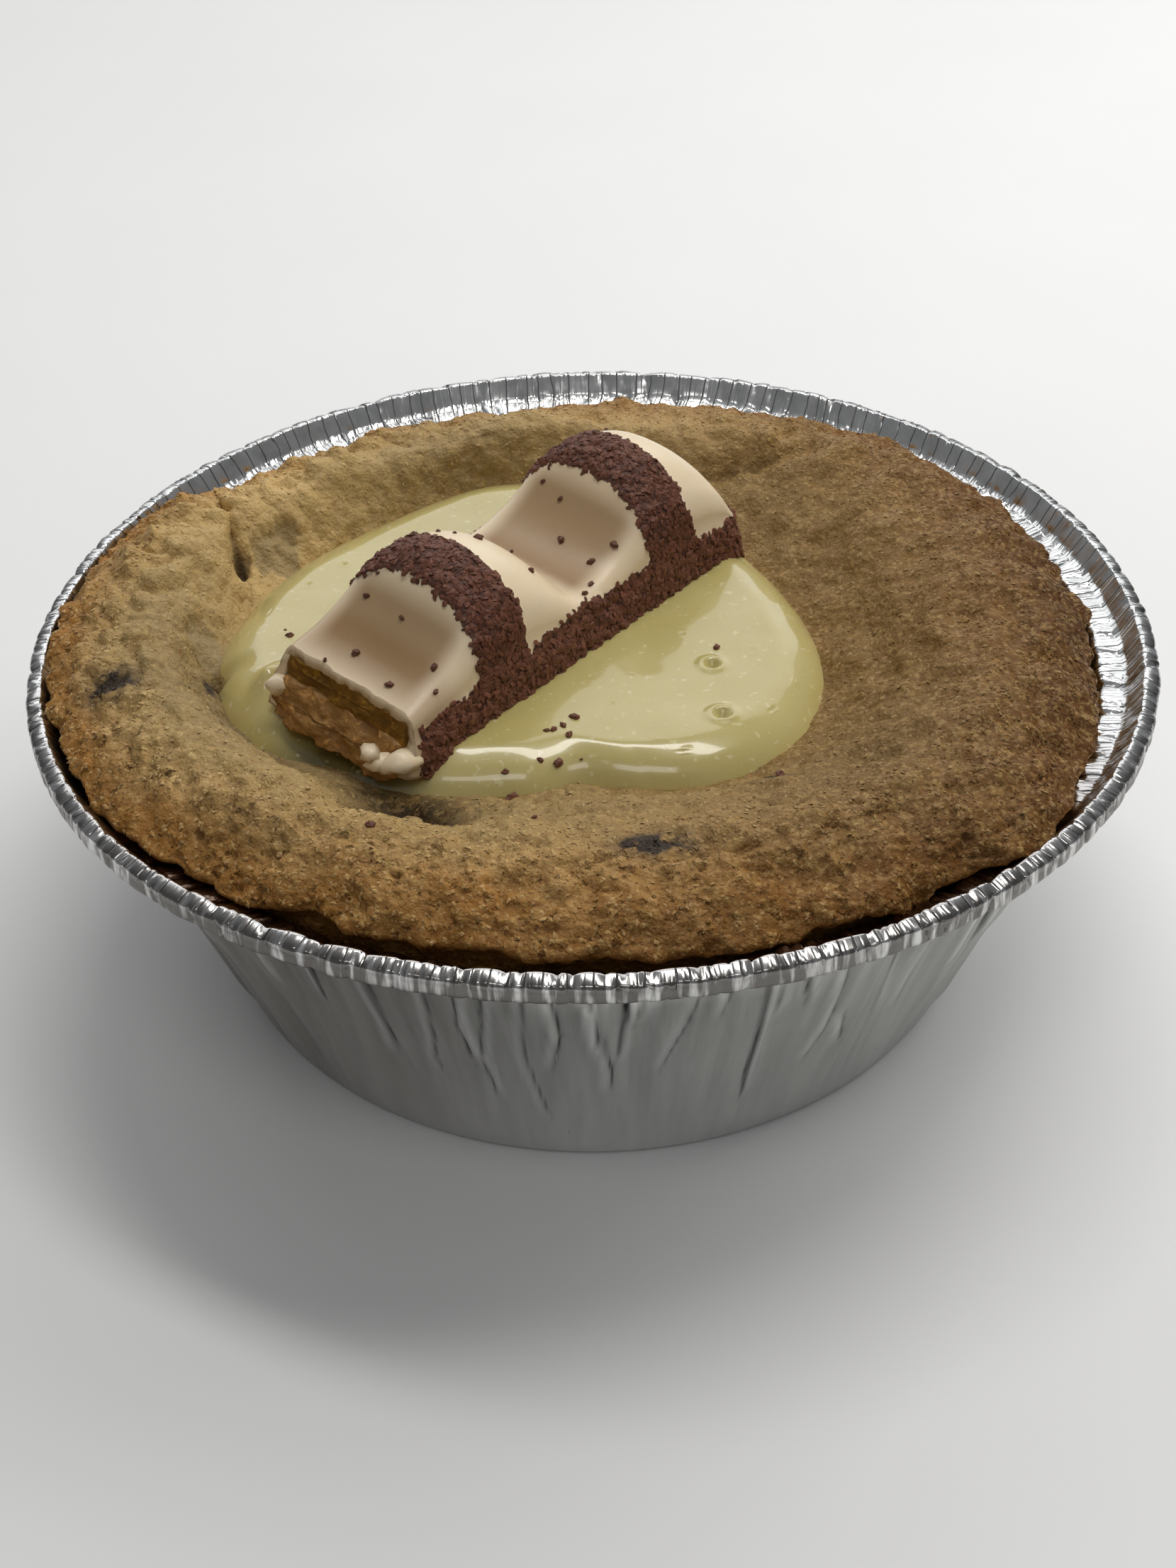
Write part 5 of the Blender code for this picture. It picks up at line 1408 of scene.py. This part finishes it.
sauce = build_sauce()
sauce.data.materials.append(sauce_material())
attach(sauce, "root")
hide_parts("sauce")


# Wafer
# A thin crisp baked sheet that follows the bar's humps and runs its whole length just under the
# coating. It is snapped across at the front end, so its face is torn and uneven.

WAFER = 2.2 * MM
TOUCH = 0.05 * MM
LAYER_AT = np.concatenate((
    np.linspace(0.0, 4.5 * MM, 6), np.linspace(8.0 * MM, BAR_LENGTH - COAT_END, 18)))
LAYER_ACROSS = 40
LAYER_UP = 14


def torn_layer(name, near, floor, top, tear, bulge, seed):
    """One layer of the bar, with a torn face at the snapped end, between a floor and a top."""
    far = BAR_WIDTH - near
    across = np.linspace(near, far, LAYER_ACROSS)
    rise = np.linspace(0.0, 1.0, LAYER_UP)[1:-1]
    loops = []
    for along in LAYER_AT:
        upper = top(np.full(LAYER_ACROSS, along), across)
        lower = floor(np.full(LAYER_ACROSS, along), across)
        up_near = np.column_stack((np.full(LAYER_UP - 2, near), lower[0] + (upper[0] - lower[0]) * rise))
        up_far = np.column_stack((np.full(LAYER_UP - 2, far), upper[-1] + (lower[-1] - upper[-1]) * rise))
        over, under = np.column_stack((across, upper)), np.column_stack((across, lower))
        loop = np.concatenate((up_near, over, up_far, under[::-1]))
        loops.append(np.column_stack((np.full(len(loop), along), loop)))
    loops = np.array(loops)
    face = loops[0]
    start = np.zeros(len(face))
    spine_across = np.clip(face[:, 1], near + 1.2 * MM, far - 1.2 * MM)
    spine_height = (top(start, spine_across) + floor(start, spine_across)) / 2.0
    spine = np.column_stack((start, spine_across, spine_height))
    shares = np.linspace(0.0, 1.0, 16)[1:-1, None, None]
    facing = spine + (face - spine) * shares
    whole = worn_corner(np.concatenate((facing, loops)))
    places = whole * (0.0, 1.0, 1.0)
    torn = rough(places, 3.0 * MM, seed) + 0.35 * rough(places, 1.1 * MM, seed)
    torn = tear * (torn + 0.12 * rough(places, 0.5 * MM, seed))
    low = 1.0 - smooth(BAR_BASE + 1.0 * MM, BAR_BASE + 5.0 * MM, whole[..., 2])
    whole[..., 0] += cut_push(whole, torn - bulge * low)
    centre = whole[0].mean(axis=0)
    return skin(name, list(place_bar(whole)), place_bar(centre), place_bar(whole[-1].mean(axis=0)))


def under_coat(along, across):
    return coat_top(along, across) - COAT_TOP + TOUCH


def wafer_floor(along, across):
    return under_coat(along, across) - WAFER


def crumb_layer_material(name, dark, light, roughness, bands):
    """Torn food layer: mottled colour, pale bits, and thin layers, bands of them in a metre of height, with
    painted shade between them.
    """
    layer = Finish(name, Roughness=roughness, Specular_IOR_Level=0.3,
                   Subsurface_Weight=0.1, Subsurface_Radius=(0.002, 0.001, 0.0005))
    layers = layer.noise(layer.vector("MULTIPLY", layer.place(), (350.0, 350.0, bands)), 2.0)
    nuts = layer.times(layer.mottle(0.9, 0.62, 0.05, 1.0, 4.0), 0.6)
    layer.dress(Base_Color=layer.painted(layer.mix(layer.mottle(1.6, softness=0.18), dark, light), (
        # Painted shade between the thin layers
        (layer.spread(layers, 0.55, 0.8, 0.0, 0.3), tuple(0.35 * part for part in dark)),
        (nuts, tuple(1.7 * part for part in light)))))
    layer.bump(layer.plus(layers, layer.mottle(0.5, softness=0.4)), 0.8, 0.25 * MM)
    return layer.material


wafer_near = COAT_SIDE + SIDE_TAPER - 0.1 * MM
wafer = torn_layer("wafer_layer", wafer_near, wafer_floor, under_coat, 0.6 * MM, 0.0, 5.0)
wafer.data.materials.append(crumb_layer_material(
    "crisp wafer", (0.17, 0.075, 0.004), (0.24, 0.118, 0.010), 0.6, 900.0))
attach(wafer, "root")
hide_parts("bar_wafer")


# Filling
# A nutty cream with bits of wafer and nut in it, which fills the bar below the wafer and down to
# its thin base. It is spread soft before the bar is coated, and is torn at the snapped end.

def cream_top(along, across):
    return wafer_floor(along, across) + TOUCH


def cream_floor(along, across):
    return BAR_BASE - 0.2 * MM + (COAT_BASE + 0.15 * MM) * smooth(0.8 * MM, 2.6 * MM, along)


cream_near = COAT_SIDE + 0.4 * MM
cream = torn_layer("bar_cream", cream_near, cream_floor, cream_top, 1.2 * MM, 0.9 * MM, 9.0)
cream.data.materials.append(crumb_layer_material(
    "nut cream", (0.28, 0.132, 0.032), (0.38, 0.205, 0.064), 0.42, 250.0))
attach(cream, "root")
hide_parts("bar_filling")


# Broken coating at the snapped end
# Chips and a thick lump of white chocolate, where the coating broke as the bar was snapped. They
# hang on at the low front corner of the cut end, and one chip at its other corner.

# Where they lie: (along, across, height above the bar's base, half length in mm)
COAT_CHIPS = (
    (-0.3, 1.6, 2.6, 2.4), (-1.5, 3.3, 2.3, 1.5), (-1.9, 4.4, 3.1, 1.3), (-0.5, 18.8, 3.2, 1.5),
)
CHIP_FLATNESS = 0.55
CHIP_SEED = 4


def chip_mesh(draw, size, flat):
    """One broken chip: a faceted lump with uneven corners."""
    shape = bmesh.new()
    bmesh.ops.create_icosphere(shape, subdivisions=2, radius=1.0)
    jag = draw.uniform(0.0, 50.0)
    for corner in shape.verts:
        corner.co *= 1.0 + 0.55 * noise.noise(corner.co * 1.3 + Vector((jag, 0.0, 0.0)))
        corner.co = Vector((corner.co.x * size, corner.co.y * size * 0.75, corner.co.z * size * flat))
    spin = Matrix.Rotation(draw.uniform(0.0, math.tau), 3, "Z")
    spin = spin @ Matrix.Rotation(draw.uniform(-0.9, 0.9), 3, "X")
    bmesh.ops.transform(shape, matrix=spin.to_4x4(), verts=shape.verts)
    return shape


def joined(name, shapes):
    """One mesh object from several bmeshes."""
    points = []
    faces = []
    for shape in shapes:
        start = len(points)
        shape.verts.index_update()
        points += [tuple(corner.co) for corner in shape.verts]
        faces += [tuple(start + corner.index for corner in face.verts) for face in shape.faces]
        shape.free()
    mesh = bpy.data.meshes.new(name)
    mesh.from_pydata(points, [], faces)
    return made(name, mesh)


def bar_spot(along, across, height):
    """A place on the bar, from millimetres along and across it."""
    return Vector(bar_point(along * MM, across * MM, height))


chip_draw = random.Random(CHIP_SEED)
chip_shapes = []
for along, across, up, half in COAT_CHIPS:
    shape = chip_mesh(chip_draw, half * MM, CHIP_FLATNESS)
    bmesh.ops.translate(shape, vec=bar_spot(along, across, BAR_BASE + up * MM), verts=shape.verts)
    chip_shapes.append(shape)
chips = joined("coat_chips", chip_shapes)
chips.data.shade_smooth()
chips.data.materials.append(coat.data.materials[0])
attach(chips, "root")


# Crumb coat
# Crushed dark wafer, sprinkled on the wet coating in a band over each hump and pressed along the
# sides. The flakes are just under a millimetre long and lie nearly flat, overlapping like bark.

FLAKE_LENGTH = 0.40 * MM
FLAKE_WIDTH = 0.26 * MM
FLAKE_THICKNESS = 0.14 * MM


def crumb_material():
    """Dark cocoa wafer crumbs: red brown, each its own tone, and lighter low on the bar's sides."""
    crumbs = Finish("cocoa crumbs", Roughness=0.5, Specular_IOR_Level=0.35)
    height = crumbs.parts(crumbs.place())[2]
    colour = crumbs.mix(crumbs.read("tone"), (0.075, 0.027, 0.015), (0.225, 0.082, 0.045))
    crumbs.dress(Base_Color=crumbs.painted(colour, (
        (crumbs.mottle(0.35, softness=0.3), (0.11, 0.042, 0.024)),
        (crumbs.spread(height, 43.0 * MM, 39.5 * MM, 0.0, 0.25), (0.30, 0.13, 0.08)))))
    crumbs.bump(crumbs.mottle(0.25, softness=0.4), 0.5, 0.1 * MM)
    return crumbs.material


CRUMB_BROWN = crumb_material()
flakes = made("crumb_coat", coat.data.copy())
shaped(flakes, "Crumb flakes", strewn_tree("crumb_flakes", "crumbed", 20, (0.45, 0.35), (0.65, 1.45)), {
    "Number per Square Metre": 6.6e6, "Length": FLAKE_LENGTH, "Width": FLAKE_WIDTH,
    "Thickness": FLAKE_THICKNESS, "Seed": 7, "Material": CRUMB_BROWN})
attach(flakes, "root")


# Loose crumbs
# Single grains of the dark wafer crumbs, which fell beside the bands, on the sauce and on the crust.
# They lie where they fell, a little sunk in the coating and the sauce.

# On the bar: (along, across in mm, half length in mm)
CRUMBS_ON_BAR = (
    (3.4, 6.2, 0.4), (4.6, 12.0, 0.45), (7.4, 3.6, 0.4), (9.8, 15.2, 0.35), (9.6, 10.0, 0.3),
    (22.6, 11.0, 0.5), (24.4, 5.2, 0.35), (34.2, 9.4, 0.45), (33.6, 4.6, 0.4), (36.4, 3.6, 0.45),
    (37.8, 12.4, 0.3),
    (2.0, 14.0, 0.25), (20.4, 14.6, 0.25), (21.0, 12.8, 0.22), (30.0, 13.0, 0.2), (38.6, 15.6, 0.3),
    (48.8, 16.6, 0.4), (49.6, 15.4, 0.3), (31.2, 2.6, 0.35), (29.6, 2.2, 0.3), (5.6, 1.8, 0.3),
)
# On the sauce and on the crust: (x, y, half length in mm)
CRUMBS_ON_SAUCE = (
    (-33.3, 2.0, 0.42), (-2.0, -14.7, 0.5), (-3.2, -16.1, 0.36), (-4.2, -16.9, 0.34), (-2.6, -17.7, 0.42),
    (-4.9, -17.0, 0.3), (-3.8, -20.9, 0.5), (-5.6, -20.9, 0.32), (-9.2, -22.2, 0.34), (-8.5, -24.1, 0.6),
    (-9.8, -26.3, 0.5), (13.6, -2.4, 0.4), (-33.9, 3.2, 0.15), (-1.4, -20.6, 0.16),
)
CRUMBS_ON_CRUST = ((-21.2, -38.6, 0.45), (18.3, -27.4, 0.5), (-20.4, -31.0, 0.3), (-6.0, -34.0, 0.25))
GRAIN_FLATNESS = 0.7
GRAIN_SEED = 8
GRAIN_TONE = 0.4


def grain_at(draw, half, spot, bury):
    """One loose grain, a little sunk in what it lies on."""
    shape = chip_mesh(draw, 1.2 * half * MM, GRAIN_FLATNESS)
    lift = Vector(spot) + Vector((0.0, 0.0, (0.35 - bury) * half * MM))
    bmesh.ops.translate(shape, vec=lift, verts=shape.verts)
    return shape


grain_draw = random.Random(GRAIN_SEED)
grains = []
for along, across, half in CRUMBS_ON_BAR:
    spot = bar_spot(along, across, coat_top(along * MM, across * MM))
    grains.append(grain_at(grain_draw, half, spot, 0.2))
for places, top_at, bury in ((CRUMBS_ON_SAUCE, sauce_top, 0.3), (CRUMBS_ON_CRUST, dough_top, 0.0)):
    for x, y, half in places:
        top = float(top_at(np.array([x * MM]), np.array([y * MM]))[0])
        grains.append(grain_at(grain_draw, half, (x * MM, y * MM, top), bury))
loose = joined("loose_crumbs", grains)
loose.data.materials.append(CRUMB_BROWN)
attribute(loose, "tone", np.full(len(loose.data.vertices), GRAIN_TONE))
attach(loose, "root")


# Floor, light and camera
# A pale studio floor. A narrow soft light overhead, a broader one at the right that shiny pieces
# don't mirror, a wide window behind and a weak lamp in front. The camera is the photograph's.

FLOOR_SIZE = 4.0
LIT_POINT = Vector((0.0, 0.0, 0.03))
# Name, place, width, depth, watts, colour and whether shiny pieces mirror it
LIGHTS = (
    ("overhead light", (0.08, 0.14, 0.70), 0.52, 0.11, 1.65, (1.0, 0.985, 0.96), True),
    ("side light", (0.42, 0.26, 0.42), 0.45, 0.35, 1.4, (1.0, 0.985, 0.96), False),
    ("back window", (-0.02, 0.84, 0.54), 1.2, 0.75, 3.2, (0.97, 0.98, 1.0), True),
    ("front lamp", (-0.03, -0.33, 0.62), 0.30, 0.12, 0.35, (1.0, 0.98, 0.96), True),
)
CAMERA_PLACE = (-0.00077636, -0.19453, 0.16592)
CAMERA_DIP = math.radians(37.70)
CAMERA_ROLL = math.radians(-1.49)
PHOTO_HEIGHT = 2212
FOCAL_PIXELS = 3000.0
SENSOR = 36.0

floor_mesh = bpy.data.meshes.new("floor")
half = FLOOR_SIZE / 2.0
floor_mesh.from_pydata(
    [(-half, -half, 0.0), (half, -half, 0.0), (half, half, 0.0), (-half, half, 0.0)], [], [(0, 1, 2, 3)])
floor = made("floor", floor_mesh)
paper = Finish("pale floor", Roughness=0.9)
paper.dress(Base_Color=paper.mix(paper.mottle(60.0, softness=0.3), (0.90, 0.90, 0.89), (0.93, 0.93, 0.92)))
floor_mesh.materials.append(paper.material)

for name, place, width, depth, watts, colour, mirrored in LIGHTS:
    lamp = bpy.data.lights.new(name, "AREA")
    lamp.shape = "RECTANGLE"
    lamp.size = width
    lamp.size_y = depth
    lamp.energy = watts
    lamp.color = colour
    holder = made(name, lamp)
    holder.location = place
    holder.rotation_euler = (LIT_POINT - Vector(place)).to_track_quat("-Z", "Y").to_euler()
    holder.visible_glossy = mirrored

world = bpy.data.worlds.new("studio")
world.use_nodes = True
world.node_tree.nodes["Background"].inputs["Color"].default_value = (0.95, 0.97, 1.0, 1.0)
world.node_tree.nodes["Background"].inputs["Strength"].default_value = 0.20
bpy.context.scene.world = world
bpy.context.scene.view_settings.view_transform = "Standard"

lens = bpy.data.cameras.new("camera")
lens.sensor_width = SENSOR
lens.lens = FOCAL_PIXELS / PHOTO_HEIGHT * SENSOR
lens.clip_start = 0.01
camera = made("camera", lens)
level_right = Vector((1.0, 0.0, 0.0))
level_up = Vector((0.0, math.sin(CAMERA_DIP), math.cos(CAMERA_DIP)))
backward = Vector((0.0, -math.cos(CAMERA_DIP), math.sin(CAMERA_DIP)))
right = math.cos(CAMERA_ROLL) * level_right + math.sin(CAMERA_ROLL) * level_up
up = math.cos(CAMERA_ROLL) * level_up - math.sin(CAMERA_ROLL) * level_right
camera.matrix_world = Matrix.Translation(CAMERA_PLACE) @ Matrix((right, up, backward)).transposed().to_4x4()
bpy.context.scene.camera = camera
